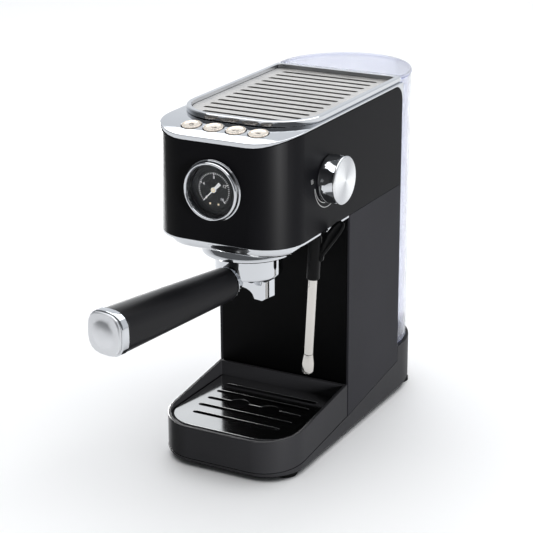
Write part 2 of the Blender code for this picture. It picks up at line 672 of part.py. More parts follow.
# ---- Pressure gauge ----
def build_gauge():
    middle = (0, 0, GAUGE_Z)
    face = HEAD_FRONT - GAP
    front = face - GAUGE_BEZEL_DEPTH
    bore = GAUGE_CASE_RADIUS - 0.0002
    bezel = turned(
        [
            (bore, face),
            (GAUGE_FLANGE_RADIUS, face),
            (GAUGE_FLANGE_RADIUS, face - 0.0013),
            (GAUGE_BEZEL_RADIUS + 0.0003, face - 0.0017),
            (GAUGE_BEZEL_RADIUS, front + 0.0012),
            (GAUGE_BEZEL_RADIUS - 0.0010, front),
            (GAUGE_BEZEL_RADIUS - 0.0021, front),
            (bore, front + 0.0016),
        ],
        40,
        middle,
        "Y",
    )
    make_object("gauge_bezel", bezel, CHROME, 0.1, 1.0)
    lens = disc(bore - GAP, front + 0.0026, front + 0.0038, 40, middle, "Y")
    make_object("gauge_lens", lens, CLEAR, 0.05, transmission=1.0)
    back = DIAL_Y + 0.001 + GAP
    case = turned(
        [
            (SHAFT_BORE, back),
            (GAUGE_DIAL_RADIUS + GAP, back),
            (GAUGE_DIAL_RADIUS + GAP, HEAD_FRONT),
            (GAUGE_CASE_RADIUS, HEAD_FRONT),
            (GAUGE_CASE_RADIUS, HEAD_FRONT + GAUGE_CASE_DEPTH),
            (0, HEAD_FRONT + GAUGE_CASE_DEPTH),
            (0, back + 0.008),
            (SHAFT_BORE, back + 0.008),
        ],
        40,
        middle,
        "Y",
    )
    make_object("gauge_case", case, DARK, 0.5)
    dial = tube_ring(GAUGE_DIAL_RADIUS, SHAFT_BORE, DIAL_Y, DIAL_Y + 0.001, 40, middle, "Y")
    make_object("gauge_dial", dial, DARK, 0.6)
    origin = (0, DIAL_Y - 0.0009, GAUGE_Z)
    outline = [
        (-NEEDLE_TAIL, -0.0015),
        (-NEEDLE_TAIL, 0.0015),
        (-0.0030, 0.0013),
        (0, 0.0006),
        (NEEDLE_LENGTH, 0.00025),
        (NEEDLE_LENGTH, -0.00025),
        (0, -0.0006),
        (-0.0030, -0.0013),
    ]
    pointer = prism(outline, -0.0003, 0.0003)
    turn = Matrix.Rotation(-math.radians(NEEDLE_REST_DEG), 4, "Y") @ Matrix.Rotation(math.radians(90), 4, "X")
    pointer.transform(Matrix.Translation(origin) @ turn)
    needle = make_object("gauge_needle", pointer, CREAM, 0.5, origin=origin)
    hub_profile = [
        (0, -0.0008),
        (NEEDLE_HUB_RADIUS, -0.0008),
        (NEEDLE_HUB_RADIUS, 0.0004),
        (SHAFT_RADIUS, 0.0004),
        (SHAFT_RADIUS, 0.006),
        (0, 0.006),
    ]
    join(needle, "needle_hub", turned(hub_profile, 20, origin, "Y"))


# ---- Steam knob and valve ----
def build_steam_knob():
    root = HALF_WIDTH + 0.0006
    barrel_end = CAP_FACE - KNOB_CAP - GAP
    middle = (0, KNOB_Y, KNOB_Z)
    bore = SPINDLE_RADIUS + GAP
    profile = [
        (bore, root),
        (KNOB_RADIUS * 0.97, root),
        (KNOB_RADIUS, root + 0.0015),
        (KNOB_RADIUS, barrel_end),
        (0, barrel_end),
        (0, barrel_end - 0.003),
        (bore, barrel_end - 0.003),
    ]
    knob = make_object("steam_knob", turned(profile, 40, middle, "X"), CHROME, 0.12, 1.0, middle)
    scoops = []
    run = (barrel_end - root) / 2
    tilt = math.atan(SCOOP_DEPTH / run)
    for i in range(KNOB_SCOOPS):
        scoop = disc(SCOOP_RADIUS, -2 * run, 2 * run, 20)
        place = Matrix.Translation((KNOB_RADIUS + SCOOP_RADIUS, 0, root + run))
        scoop.transform(place @ Matrix.Rotation(-tilt, 4, "Y"))
        around = Matrix.Rotation(math.radians(360 * i / KNOB_SCOOPS + SCOOP_PHASE_DEG), 4, "Z")
        scoop.transform(Matrix.Translation(middle) @ AXES["X"] @ around)
        scoops.append(scoop)
    cut(knob, "knob_scoops", merged(*scoops))
    cap = turned(
        [
            (0, CAP_FACE - KNOB_CAP),
            (KNOB_RADIUS - 0.0006, CAP_FACE - KNOB_CAP),
            (KNOB_RADIUS, CAP_FACE - KNOB_CAP + 0.0006),
            (KNOB_RADIUS, CAP_FACE - 0.0016),
            (KNOB_RADIUS - 0.0012, CAP_FACE - 0.0006),
            (KNOB_RADIUS * 0.5, CAP_FACE - 0.0001),
            (0, CAP_FACE),
        ],
        40,
        middle,
        "X",
    )
    make_object("steam_knob_cap", cap, SATIN, 0.3, 1.0, middle)
    inner_end = HALF_WIDTH - 0.018
    spindle = disc(SPINDLE_RADIUS, inner_end, barrel_end - 0.003 - GAP, 16, middle, "X")
    make_object("steam_spindle", spindle, STEEL, 0.3, 1.0, middle)
    valve_profile = [
        (0, inner_end - 0.026),
        (STEAM_VALVE_RADIUS, inner_end - 0.026),
        (STEAM_VALVE_RADIUS, inner_end + 0.008),
        (bore, inner_end + 0.008),
        (bore, inner_end - GAP),
        (0, inner_end - GAP),
    ]
    valve = turned(valve_profile, 20, middle, "X")
    make_object("steam_valve", valve, NICKEL, 0.4, 1.0)


# ---- Steam wand: it swings out to the side on its ball ----
def lever_section(width, thickness):
    """A flat oval across the lever."""
    return [(width / 2 * c, thickness / 2 * d) for c, d in arc((0, 0), (1, 1), 0, 337.5, 15)]


def swept(rings, facing):
    """Lofts sections along a path: each ring is (outline, point); the outline's Y looks along a direction."""
    shape = bmesh.new()
    loops = []
    for i, (points, place) in enumerate(rings):
        before = Vector(rings[max(i - 1, 0)][1])
        after = Vector(rings[min(i + 1, len(rings) - 1)][1])
        along = (after - before).normalized()
        across = along.cross(facing).normalized()
        normal = across.cross(along)
        loops.append([shape.verts.new(Vector(place) + across * x + normal * y) for x, y in points])
    for low, high in zip(loops, loops[1:]):
        for i in range(len(low)):
            j = (i + 1) % len(low)
            shape.faces.new((low[i], low[j], high[j], high[i]))
    shape.faces.new(reversed(loops[0]))
    shape.faces.new(loops[-1])
    bmesh.ops.recalc_face_normals(shape, faces=shape.faces)
    return shape


def build_wand():
    ball = WAND_BALL_RADIUS
    socket_bore = ball + GAP
    socket_outer = socket_bore + WAND_SOCKET_WALL
    foot = TRIM_TOP + GAP - WAND_PIVOT.z
    inner = [(socket_bore, foot)] + arc((0, 0), (socket_bore, socket_bore), 0, 90, 4)
    outer = [(0, socket_outer), (socket_outer - 0.002, socket_outer), (socket_outer, socket_outer - 0.002)]
    socket = turned(inner + outer + [(socket_outer, foot)], 16, WAND_PIVOT)
    make_object("wand_socket", socket, NICKEL, 0.4, 1.0)
    neck_angle = math.degrees(math.asin(WAND_NECK_RADIUS / ball))
    round_part = arc((0, 0), (ball, ball), 90, -90 + neck_angle, 7)
    ball_shape = turned(round_part + [(WAND_NECK_RADIUS, -WAND_NECK_END), (0, -WAND_NECK_END)], 16)
    make_object("wand_ball", ball_shape, DARK, 0.4, 1.0, parent=WAND_FRAME)
    nozzle_top = -WAND_LENGTH + WAND_NOZZLE_LENGTH
    bore = WAND_TUBE_RADIUS - 0.001
    tube = tube_ring(WAND_TUBE_RADIUS, bore, nozzle_top + GAP, -WAND_NECK_END - GAP, 24)
    make_object("wand_tube", tube, STEEL, 0.15, 1.0, parent=WAND_FRAME)
    radius = WAND_NOZZLE_RADIUS
    nozzle = turned(
        [
            (0.0015, nozzle_top),
            (WAND_TUBE_RADIUS, nozzle_top),
            (WAND_TUBE_RADIUS + 0.0003, nozzle_top - 0.002),
            (radius, nozzle_top - 0.009),
            (radius, -WAND_LENGTH + 0.003),
            (radius - 0.001, -WAND_LENGTH + 0.0008),
            (radius - 0.0025, -WAND_LENGTH),
            (0.0015, -WAND_LENGTH),
        ],
        24,
    )
    make_object("wand_nozzle", nozzle, STEEL, 0.15, 1.0, parent=WAND_FRAME)
    sleeve = [
        (WAND_TUBE_RADIUS + GAP, -SLEEVE_BOTTOM),
        (SLEEVE_RADIUS - 0.0008, -SLEEVE_BOTTOM),
        (SLEEVE_RADIUS, -SLEEVE_BOTTOM + 0.001),
        (SLEEVE_RADIUS, -SLEEVE_TOP - 0.003),
        (WAND_TUBE_RADIUS + GAP + 0.0008, -SLEEVE_TOP),
        (WAND_TUBE_RADIUS + GAP, -SLEEVE_TOP),
    ]
    grip = make_object("wand_grip", turned(sleeve, 24), BLACK, 0.5, parent=WAND_FRAME)
    facing = Vector((0.45, -0.83, 0.33))
    path = [
        (0.0050, 0.0000, -0.0330),
        (0.0068, 0.0005, -0.0270),
        (0.0098, 0.0022, -0.0185),
        (0.0135, 0.0048, -0.0100),
        (0.0172, 0.0075, -0.0030),
        (0.0200, 0.0096, 0.0018),
        (0.0214, 0.0108, 0.0040),
    ]
    widths = (0.35, 0.50, 0.80, 1.00, 1.00, 0.78, 0.40)
    sections = [
        (lever_section(LEVER_WIDTH * w, LEVER_THICKNESS * min(1.0, w + 0.3)), place)
        for w, place in zip(widths, path)
    ]
    join(grip, "wand_lever", swept(sections, facing), WAND_FRAME)
    lifted = facing.normalized() * LEVER_THICKNESS / 2
    dish = [
        (lever_section(LEVER_WIDTH * (w - 0.42), 2 * LEVER_RECESS), Vector(place) + lifted)
        for w, place in zip(widths[1:-1], path[1:-1])
    ]
    cut(grip, "lever_dish", swept(dish, facing), WAND_FRAME)
    bump = disc(0.0042, -0.0022, 0.0022, 16, (0.0050, 0.0010, -0.0300), "Y", edge=0.0012)
    join(grip, "lever_bump", bump, WAND_FRAME)
    bore = disc(WAND_TUBE_RADIUS + GAP, -WAND_LENGTH, WAND_BALL_RADIUS, 24)
    cut(grip, "sleeve_bore", bore, WAND_FRAME)


# ---- Group: skirt, brewing head, locking collar, gasket and screen ----
def build_group():
    plate = make_object("head_plate", prism(bay_outline(0.0004), TRIM_BOTTOM, TRIM_TOP), CHROME, 0.15, 1.0)
    centre = (0, GROUP_Y, 0)
    group_hole = disc(GROUP_RADIUS + GAP, SKIRT_BOTTOM - BEYOND, TRIM_TOP + BEYOND, 40, centre)
    group_opening = make_cutter("group_opening", group_hole)
    combine(plate, group_opening)
    wand_hole = disc(WAND_HOLE_RADIUS, TRIM_BOTTOM - BEYOND, TRIM_TOP + BEYOND, 24, (WAND_PIVOT.x, WAND_Y, 0))
    cut(plate, "wand_opening", wand_hole)
    skirt_rear = -TRAY_COLUMN_GAP - GAP

    def skirt_outline(inset):
        return bay_outline(SKIRT_INSET + inset, skirt_rear - inset)

    rings = [
        (skirt_outline(0.0085), SKIRT_BOTTOM),
        (skirt_outline(0.0050), SKIRT_BOTTOM + 0.0007),
        (skirt_outline(0.0024), SKIRT_BOTTOM + 0.0024),
        (skirt_outline(0.0007), SKIRT_BOTTOM + 0.0052),
        (skirt_outline(0.0), SKIRT_TOP),
    ]
    skirt = make_object("group_skirt", loft(rings), CHROME, 0.12, 1.0)
    inside = [
        (skirt_outline(0.0095), SKIRT_BOTTOM + 0.002),
        (skirt_outline(0.0026), SKIRT_BOTTOM + 0.0055),
        (skirt_outline(0.0020), SKIRT_TOP + BEYOND),
    ]
    cut(skirt, "skirt_inside", loft(inside))
    combine(skirt, group_opening)
    wand_cut = box(
        (HALF_WIDTH - SKIRT_CUT_DEPTH, SKIRT_CUT_Y - SKIRT_CUT_HALF, SKIRT_BOTTOM - BEYOND),
        (HALF_WIDTH + BEYOND, SKIRT_CUT_Y + SKIRT_CUT_HALF, SKIRT_TOP + BEYOND),
    )
    cut(skirt, "skirt_wand_cut", wand_cut)

    boss = BASKET_RADIUS - 0.006
    gasket_bottom = BASKET_TOP + GAP
    screen_top = COLLAR_TOP - 0.0016
    head = turned(
        [
            (0, screen_top + GAP),
            (boss, screen_top + GAP),
            (boss, COLLAR_TOP),
            (GROUP_RADIUS, COLLAR_TOP),
            (GROUP_RADIUS, COLLAR_TOP + GROUP_HEIGHT - 0.004),
            (GROUP_RADIUS - 0.012, COLLAR_TOP + GROUP_HEIGHT),
            (0, COLLAR_TOP + GROUP_HEIGHT),
        ],
        40,
        centre,
    )
    make_object("group_head", head, NICKEL, 0.4, 1.0)
    cavity = BOWL_RADIUS + EAR_REACH + 0.001
    collar = turned(
        [
            (COLLAR_BORE, COLLAR_BOTTOM),
            (COLLAR_RADIUS - 0.001, COLLAR_BOTTOM),
            (COLLAR_RADIUS, COLLAR_BOTTOM + 0.001),
            (COLLAR_RADIUS, COLLAR_BOTTOM + 0.0045),
            (COLLAR_RADIUS - 0.0022, COLLAR_TOP - GAP),
            (cavity, COLLAR_TOP - GAP),
            (cavity, COLLAR_BOTTOM + COLLAR_FLANGE),
            (COLLAR_BORE, COLLAR_BOTTOM + COLLAR_FLANGE),
        ],
        44,
        centre,
    )
    collar = make_object("group_collar", collar, CHROME, 0.1, 1.0)
    entry_profile = [
        (COLLAR_BORE - 0.002, COLLAR_BOTTOM - 0.002),
        (cavity - 0.0002, COLLAR_BOTTOM - 0.002),
        (cavity - 0.0002, EAR_BOTTOM + 0.001),
        (COLLAR_BORE - 0.002, EAR_BOTTOM + 0.001),
    ]
    half = EAR_HALF_DEG + 2.0
    entry_start = -HANDLE_YAW_DEG - UNLOCK_DEG - half
    entries = [turned(entry_profile, 8, centre, "Z", side + entry_start, 2 * half) for side in (0.0, 180.0)]
    cut(collar, "collar_entries", merged(*entries))
    gasket_inner = BASKET_RADIUS + 0.0005
    gasket = tube_ring(BOWL_RADIUS + 0.0002, gasket_inner, gasket_bottom, COLLAR_TOP - GAP, 28, centre)
    make_object("group_gasket", gasket, RUBBER, 0.8)
    screen = turned(
        [
            (0, screen_top - 0.0030),
            (0.004, screen_top - 0.0030),
            (0.004, screen_top - 0.0018),
            (BASKET_RADIUS - 0.0012, screen_top - 0.0012),
            (BASKET_RADIUS - 0.0004, screen_top),
            (0, screen_top),
        ],
        32,
        centre,
    )
    make_object("shower_screen", screen, STEEL, 0.3, 1.0)


# ---- Portafilter: it turns about the group's axis ----
def super_section(width, squareness, count=24):
    """A rounded-square outline between a circle (2) and a square (large)."""
    points = []
    for i in range(count):
        angle = 2 * math.pi * i / count
        c, s = math.cos(angle), math.sin(angle)
        stretch = (abs(c) ** squareness + abs(s) ** squareness) ** (-1 / squareness)
        points.append((width / 2 * stretch * c, width / 2 * stretch * s))
    return points


def along_handle(rings):
    """Lofts sections that are given as (outline, distance from the group's axis)."""
    shape = loft(rings)
    shape.transform(Matrix.Translation((0, 0, HANDLE_Z)) @ Matrix.Rotation(math.radians(90), 4, "X"))
    return shape


def build_portafilter():
    cup = turned(
        [
            (0, BOWL_BOTTOM),
            (BOWL_RADIUS - 0.003, BOWL_BOTTOM),
            (BOWL_RADIUS - 0.0008, BOWL_BOTTOM + 0.0009),
            (BOWL_RADIUS, BOWL_BOTTOM + 0.003),
            (BOWL_RADIUS, BOWL_TOP),
            (0, BOWL_TOP),
        ],
        40,
    )
    bowl = make_object("portafilter_bowl", cup, CHROME, 0.1, 1.0, parent=PORTAFILTER_FRAME)
    neck = along_handle(
        [
            (super_section(2 * NECK_RADIUS, 2.0, 20), SPOUT_DEPTH / 2 + 0.010),
            (super_section(2 * NECK_RADIUS, 2.0, 20), HANDLE_ROOT - 0.009),
            (super_section(2.5 * NECK_RADIUS, 2.0, 20), HANDLE_ROOT - 0.004),
            (super_section(HANDLE_ROOT_WIDTH - 0.001, 2.0, 20), HANDLE_ROOT - GAP - 0.0006),
            (super_section(HANDLE_ROOT_WIDTH - 0.001, 2.0, 20), HANDLE_ROOT - GAP),
        ]
    )
    stud_section = super_section(2 * STUD_RADIUS, 2.0, 12)
    stud = along_handle([(stud_section, HANDLE_ROOT - 0.003), (stud_section, STUD_END)])
    ears = [
        turned(
            [
                (BOWL_RADIUS - 0.001, EAR_BOTTOM),
                (BOWL_RADIUS + EAR_REACH, EAR_BOTTOM),
                (BOWL_RADIUS + EAR_REACH, BOWL_TOP - 0.0002),
                (BOWL_RADIUS - 0.001, BOWL_TOP - 0.0002),
            ],
            8,
            (0, 0, 0),
            "Z",
            side - EAR_HALF_DEG,
            2 * EAR_HALF_DEG,
        )
        for side in (0.0, 180.0)
    ]
    join(bowl, "bowl_neck", neck, PORTAFILTER_FRAME)
    join(bowl, "bowl_stud", stud, PORTAFILTER_FRAME)
    join(bowl, "bowl_ears", merged(*ears), PORTAFILTER_FRAME)
    bore = BOWL_RADIUS - BOWL_WALL
    inside = disc(bore, BOWL_BOTTOM + 0.0035, BOWL_TOP + BEYOND, 40)
    drain = disc(DRAIN_RADIUS, BOWL_BOTTOM - BEYOND, BOWL_BOTTOM + BEYOND, 16)
    cut(bowl, "bowl_inside", inside, PORTAFILTER_FRAME)
    cut(bowl, "bowl_drain", drain, PORTAFILTER_FRAME)

    rim = BOWL_RADIUS - 0.0006
    inner = BASKET_RADIUS - BASKET_WALL
    rim_bottom = BOWL_TOP + GAP
    basket = turned(
        [
            (0, BASKET_BOTTOM),
            (BASKET_RADIUS - 0.002, BASKET_BOTTOM),
            (BASKET_RADIUS, BASKET_BOTTOM + 0.002),
            (BASKET_RADIUS, rim_bottom),
            (rim, rim_bottom),
            (rim, BASKET_TOP),
            (inner, BASKET_TOP),
            (inner, BASKET_BOTTOM + 0.002 + BASKET_WALL),
            (inner - 0.002, BASKET_BOTTOM + BASKET_WALL),
            (0, BASKET_BOTTOM + BASKET_WALL),
        ],
        36,
    )
    make_object("filter_basket", basket, STEEL, 0.25, 1.0, parent=PORTAFILTER_FRAME)
    wire = (bore - BASKET_RADIUS) / 2 - GAP / 2
    section = arc(((bore + BASKET_RADIUS) / 2, BOWL_TOP - 0.005), (wire, wire), 0, 288, 4)
    make_object("basket_spring", turned(section, 28), STEEL, 0.3, 1.0, parent=PORTAFILTER_FRAME)

    top = BOWL_BOTTOM - GAP
    outline = [
        (SPOUT_NECK, top),
        (-SPOUT_NECK, top),
        (-SPOUT_HALF, top - SPOUT_SHOULDER),
        (-SPOUT_HALF, SPOUT_BOTTOM + 0.0015),
        (-SPOUT_HALF + 0.002, SPOUT_BOTTOM),
        (-SPOUT_HALF + SPOUT_FOOT, SPOUT_BOTTOM),
    ]
    outline += arc((0, SPOUT_BOTTOM), (SPOUT_HALF - SPOUT_FOOT - 0.0005, SPOUT_ARCH), 172, 8, 8)
    outline += [
        (SPOUT_HALF - SPOUT_FOOT, SPOUT_BOTTOM),
        (SPOUT_HALF - 0.002, SPOUT_BOTTOM),
        (SPOUT_HALF, SPOUT_BOTTOM + 0.0015),
        (SPOUT_HALF, top - SPOUT_SHOULDER),
    ]
    body = prism(outline, -SPOUT_DEPTH / 2, SPOUT_DEPTH / 2)
    body.transform(Matrix.Rotation(math.radians(90), 4, "X"))
    spout = make_object("portafilter_spout", body, CHROME, 0.12, 1.0, parent=PORTAFILTER_FRAME)
    across, deep = SPOUT_HALF - SPOUT_ROUND, SPOUT_DEPTH / 2 - SPOUT_ROUND
    plan = arc((across, deep), (SPOUT_ROUND, SPOUT_ROUND), 0, 90, 3)
    plan += arc((-across, deep), (SPOUT_ROUND, SPOUT_ROUND), 90, 180, 3)
    plan += arc((-across, -deep), (SPOUT_ROUND, SPOUT_ROUND), 180, 270, 3)
    plan += arc((across, -deep), (SPOUT_ROUND, SPOUT_ROUND), 270, 360, 3)
    rounded = prism(plan, SPOUT_BOTTOM - BEYOND, top + BEYOND)
    combine(spout, make_cutter("spout_envelope", rounded, PORTAFILTER_FRAME), "INTERSECT")
    channels = []
    for sign in (-1, 1):
        start = Vector((sign * 0.002, 0, top + 0.004))
        end = Vector((sign * (SPOUT_HALF - 0.0065), 0, SPOUT_BOTTOM - 0.004))
        channel = disc(DRAIN_RADIUS, 0.0, (end - start).length, 12)
        heading = (end - start).to_track_quat("Z", "Y").to_matrix().to_4x4()
        channel.transform(Matrix.Translation(start) @ heading)
        channels.append(channel)
    cut(spout, "spout_channel_left", channels[0], PORTAFILTER_FRAME)
    cut(spout, "spout_channel_right", channels[1], PORTAFILTER_FRAME)

    grip = along_handle(
        [
            (super_section(HANDLE_ROOT_WIDTH - 0.004, 2.1), HANDLE_ROOT),
            (super_section(HANDLE_ROOT_WIDTH, 2.1), HANDLE_ROOT + 0.002),
            (super_section((HANDLE_ROOT_WIDTH + HANDLE_END_WIDTH) / 2, 2.5), (HANDLE_ROOT + HANDLE_END) / 2),
            (super_section(HANDLE_END_WIDTH, 3.0), HANDLE_END),
        ]
    )
    grip = make_object("handle_grip", grip, BLACK, 0.4, parent=PORTAFILTER_FRAME)
    section = super_section(2 * (STUD_RADIUS + GAP), 2.0, 12)
    grip_bore = along_handle([(section, HANDLE_ROOT - BEYOND), (section, STUD_END + 0.001)])
    cut(grip, "grip_bore", grip_bore, PORTAFILTER_FRAME)
    ring_start = HANDLE_END + GAP
    ring = along_handle(
        [
            (super_section(HANDLE_END_WIDTH - 0.0004, 3.0), ring_start),
            (super_section(HANDLE_END_WIDTH + 0.0008, 3.0), ring_start + 0.0008),
            (super_section(HANDLE_END_WIDTH + 0.0008, 3.0), ring_start + END_RING - 0.001),
            (super_section(HANDLE_END_WIDTH - 0.001, 3.0), ring_start + END_RING),
        ]
    )
    make_object("handle_ring", ring, CHROME, 0.1, 1.0, parent=PORTAFILTER_FRAME)
    cap_start = ring_start + END_RING + GAP
    face = cap_start + END_CAP
    dome = HANDLE_END_WIDTH - 2 * END_FACE
    cap = along_handle(
        [
            (super_section(HANDLE_END_WIDTH - 0.0015, 3.0), cap_start),
            (super_section(HANDLE_END_WIDTH - 0.0015, 3.0), face - 0.0012),
            (super_section(HANDLE_END_WIDTH - 0.0035, 3.0), face - 0.0001),
            (super_section(dome + 0.0008, 2.0), face),
            (super_section(dome * 0.86, 2.0), face + END_DOME * 0.42),
            (super_section(dome * DOME_SHARE, 2.0), face + END_DOME * 0.80),
            (super_section(dome * 0.25, 2.0), face + END_DOME),
        ]
    )
    make_object("handle_cap", cap, SATIN, 0.3, 1.0, parent=PORTAFILTER_FRAME)


# ---- Drip tray and plate ----
def rim_height(y):
    return RIM_HEIGHT + y * RIM_SLOPE


def build_tray():
    beyond = HEAD_FRONT - BEYOND
    rear = BEYOND
    tray = make_object("drip_tray", prism(bay_outline(GAP), 0.0, RIM_HEIGHT + BEYOND), BLACK, 0.4)
    profile = [
        (beyond, seam(beyond) + GAP),
        (rear, SEAM_HEIGHT + SEAM_SLOPE_FRONT * rear + GAP),
        (rear, rim_height(rear)),
        (beyond, rim_height(beyond)),
    ]
    combine(tray, make_cutter("tray_envelope", side_prism(profile, -FAR, FAR)), "INTERSECT")
    shelf = PLATE_Z - GAP
    upper = prism(bay_outline(TRAY_WALL, -TRAY_COLUMN_GAP - TRAY_WALL), shelf, RIM_HEIGHT + 2 * BEYOND)
    cut(tray, "tray_upper", upper)
    inset = TRAY_WALL + TRAY_LEDGE
    deep = make_cutter("tray_deep", prism(bay_outline(inset, -TRAY_COLUMN_GAP - inset), 0.0, RIM_HEIGHT))
    floor = [
        (beyond, seam(beyond) + TRAY_FLOOR),
        (rear, SEAM_HEIGHT + SEAM_SLOPE_FRONT * rear + TRAY_FLOOR),
        (rear, RIM_HEIGHT + BEYOND),
        (beyond, RIM_HEIGHT + BEYOND),
    ]
    combine(deep, make_cutter("tray_floor", side_prism(floor, -FAR, FAR)), "INTERSECT")
    combine(tray, deep)

    inset = TRAY_WALL + PLATE_CLEARANCE
    rear = -TRAY_COLUMN_GAP - TRAY_WALL - 0.001
    outline = rounded_outline(HALF_WIDTH - inset, HEAD_FRONT + inset, rear, CORNER_RADIUS - inset, 0.004)
    plate = make_object("drip_plate", prism(outline, PLATE_Z, PLATE_TOP), STEEL, 0.1, 1.0)
    slots = []
    for i in range(DRIP_SLOTS):
        y = DRIP_SLOT_FIRST - i * DRIP_SLOT_PITCH
        half = HALF_WIDTH - DRIP_SLOT_MARGIN - (0.004 if i == DRIP_SLOTS - 1 else 0.0)
        slots.append(prism(slot_outline(half, DRIP_SLOT_WIDTH, y), PLATE_Z - BEYOND, PLATE_TOP + BEYOND))
    cut(plate, "drip_slots", merged(*slots))
    middle = DRIP_SLOT_FIRST - (DRIP_SLOTS // 2) * DRIP_SLOT_PITCH
    fingers = [
        disc(FINGER_HOLE_RADIUS, PLATE_Z - BEYOND, PLATE_TOP + BEYOND, 24, (x, middle, 0))
        for x in (-FINGER_HOLE_X, FINGER_HOLE_X)
    ]
    cut(plate, "finger_holes", merged(*fingers))


# ---- Water tank: it lifts off the rear block ----
def build_tank():
    tank_shape = prism(tank_outline(), TANK_BOTTOM, TANK_TOP)
    tank = make_object("water_tank", tank_shape, CLEAR, 0.05, transmission=0.9)
    cut(tank, "tank_inside", prism(tank_outline(TANK_WALL), TANK_BOTTOM + TANK_WALL, TANK_TOP + BEYOND))
    outlet = disc(OUTLET_RADIUS + GAP, TANK_BOTTOM - BEYOND, TANK_BOTTOM + BEYOND, 24, (0, OUTLET_Y, 0))
    cut(tank, "tank_outlet", outlet)
    lid_low = LID_TOP - LID_THICKNESS
    edge = 0.0007
    rings = [(lid_outline(0.0), lid_low), (lid_outline(0.0), LID_TOP - edge), (lid_outline(edge), LID_TOP)]
    lid = loft(rings)
    make_object("tank_lid", lid, CLEAR, 0.05, origin=(0, LID_FRONT, LID_TOP), transmission=0.9)
    low = TANK_BOTTOM
    valve = turned(
        [
            (0.004, low),
            (OUTLET_RADIUS, low),
            (OUTLET_RADIUS, low + TANK_WALL + GAP),
            (OUTLET_RADIUS + 0.003, low + TANK_WALL + GAP),
            (OUTLET_RADIUS + 0.003, low + TANK_WALL + 0.003),
            (0.007, low + 0.016),
            (0.004, low + 0.016),
        ],
        24,
        (0, OUTLET_Y, 0),
    )
    make_object("tank_valve", valve, DARK, 0.5)
    seat = turned(
        [
            (SEAT_BORE, REAR_BLOCK_TOP - BASE_WALL - 0.012),
            (0.006, REAR_BLOCK_TOP - BASE_WALL - 0.012),
            (SEAT_RADIUS, REAR_BLOCK_TOP - BASE_WALL),
            (SEAT_RADIUS, REAR_BLOCK_TOP - GAP),
            (SEAT_BORE, REAR_BLOCK_TOP - GAP),
        ],
        24,
        (0, OUTLET_Y, 0),
    )
    make_object("tank_seat", seat, RUBBER, 0.7)


def lid_outline(inset):
    return [(x, max(y, LID_FRONT + inset)) for x, y in tank_outline(inset - 0.0005, LID_FRONT)]


# ---- Inside: boiler, pump, valve, board and hoses ----
def smooth_route(points, per_span=3):
    """Points along a smooth curve through the given ones."""
    route = [Vector(p) for p in points]
    padded = [2 * route[0] - route[1]] + route + [2 * route[-1] - route[-2]]
    result = []
    for i in range(1, len(padded) - 2):
        a, b, c, d = padded[i - 1 : i + 3]
        for k in range(per_span):
            t = k / per_span
            bend = (2 * a - 5 * b + 4 * c - d) * t * t + (3 * b - a - 3 * c + d) * t**3
            result.append(0.5 * (2 * b + (c - a) * t + bend))
    return result + [route[-1]]


def make_hose(name, points, radius):
    curve = bpy.data.curves.new(name, "CURVE")
    curve.dimensions = "3D"
    curve.bevel_depth = radius
    curve.bevel_resolution = 1
    curve.use_fill_caps = True
    route = smooth_route(points)
    spline = curve.splines.new("POLY")
    spline.points.add(len(route) - 1)
    for knot, place in zip(spline.points, route):
        knot.co = (*place, 1.0)
    hose = bpy.data.objects.new(name, curve)
    bpy.context.scene.collection.objects.link(hose)
    hose.parent = DATUM
    curve.materials.append(make_material(name, HOSE_CLEAR, 0.5))
    return hose


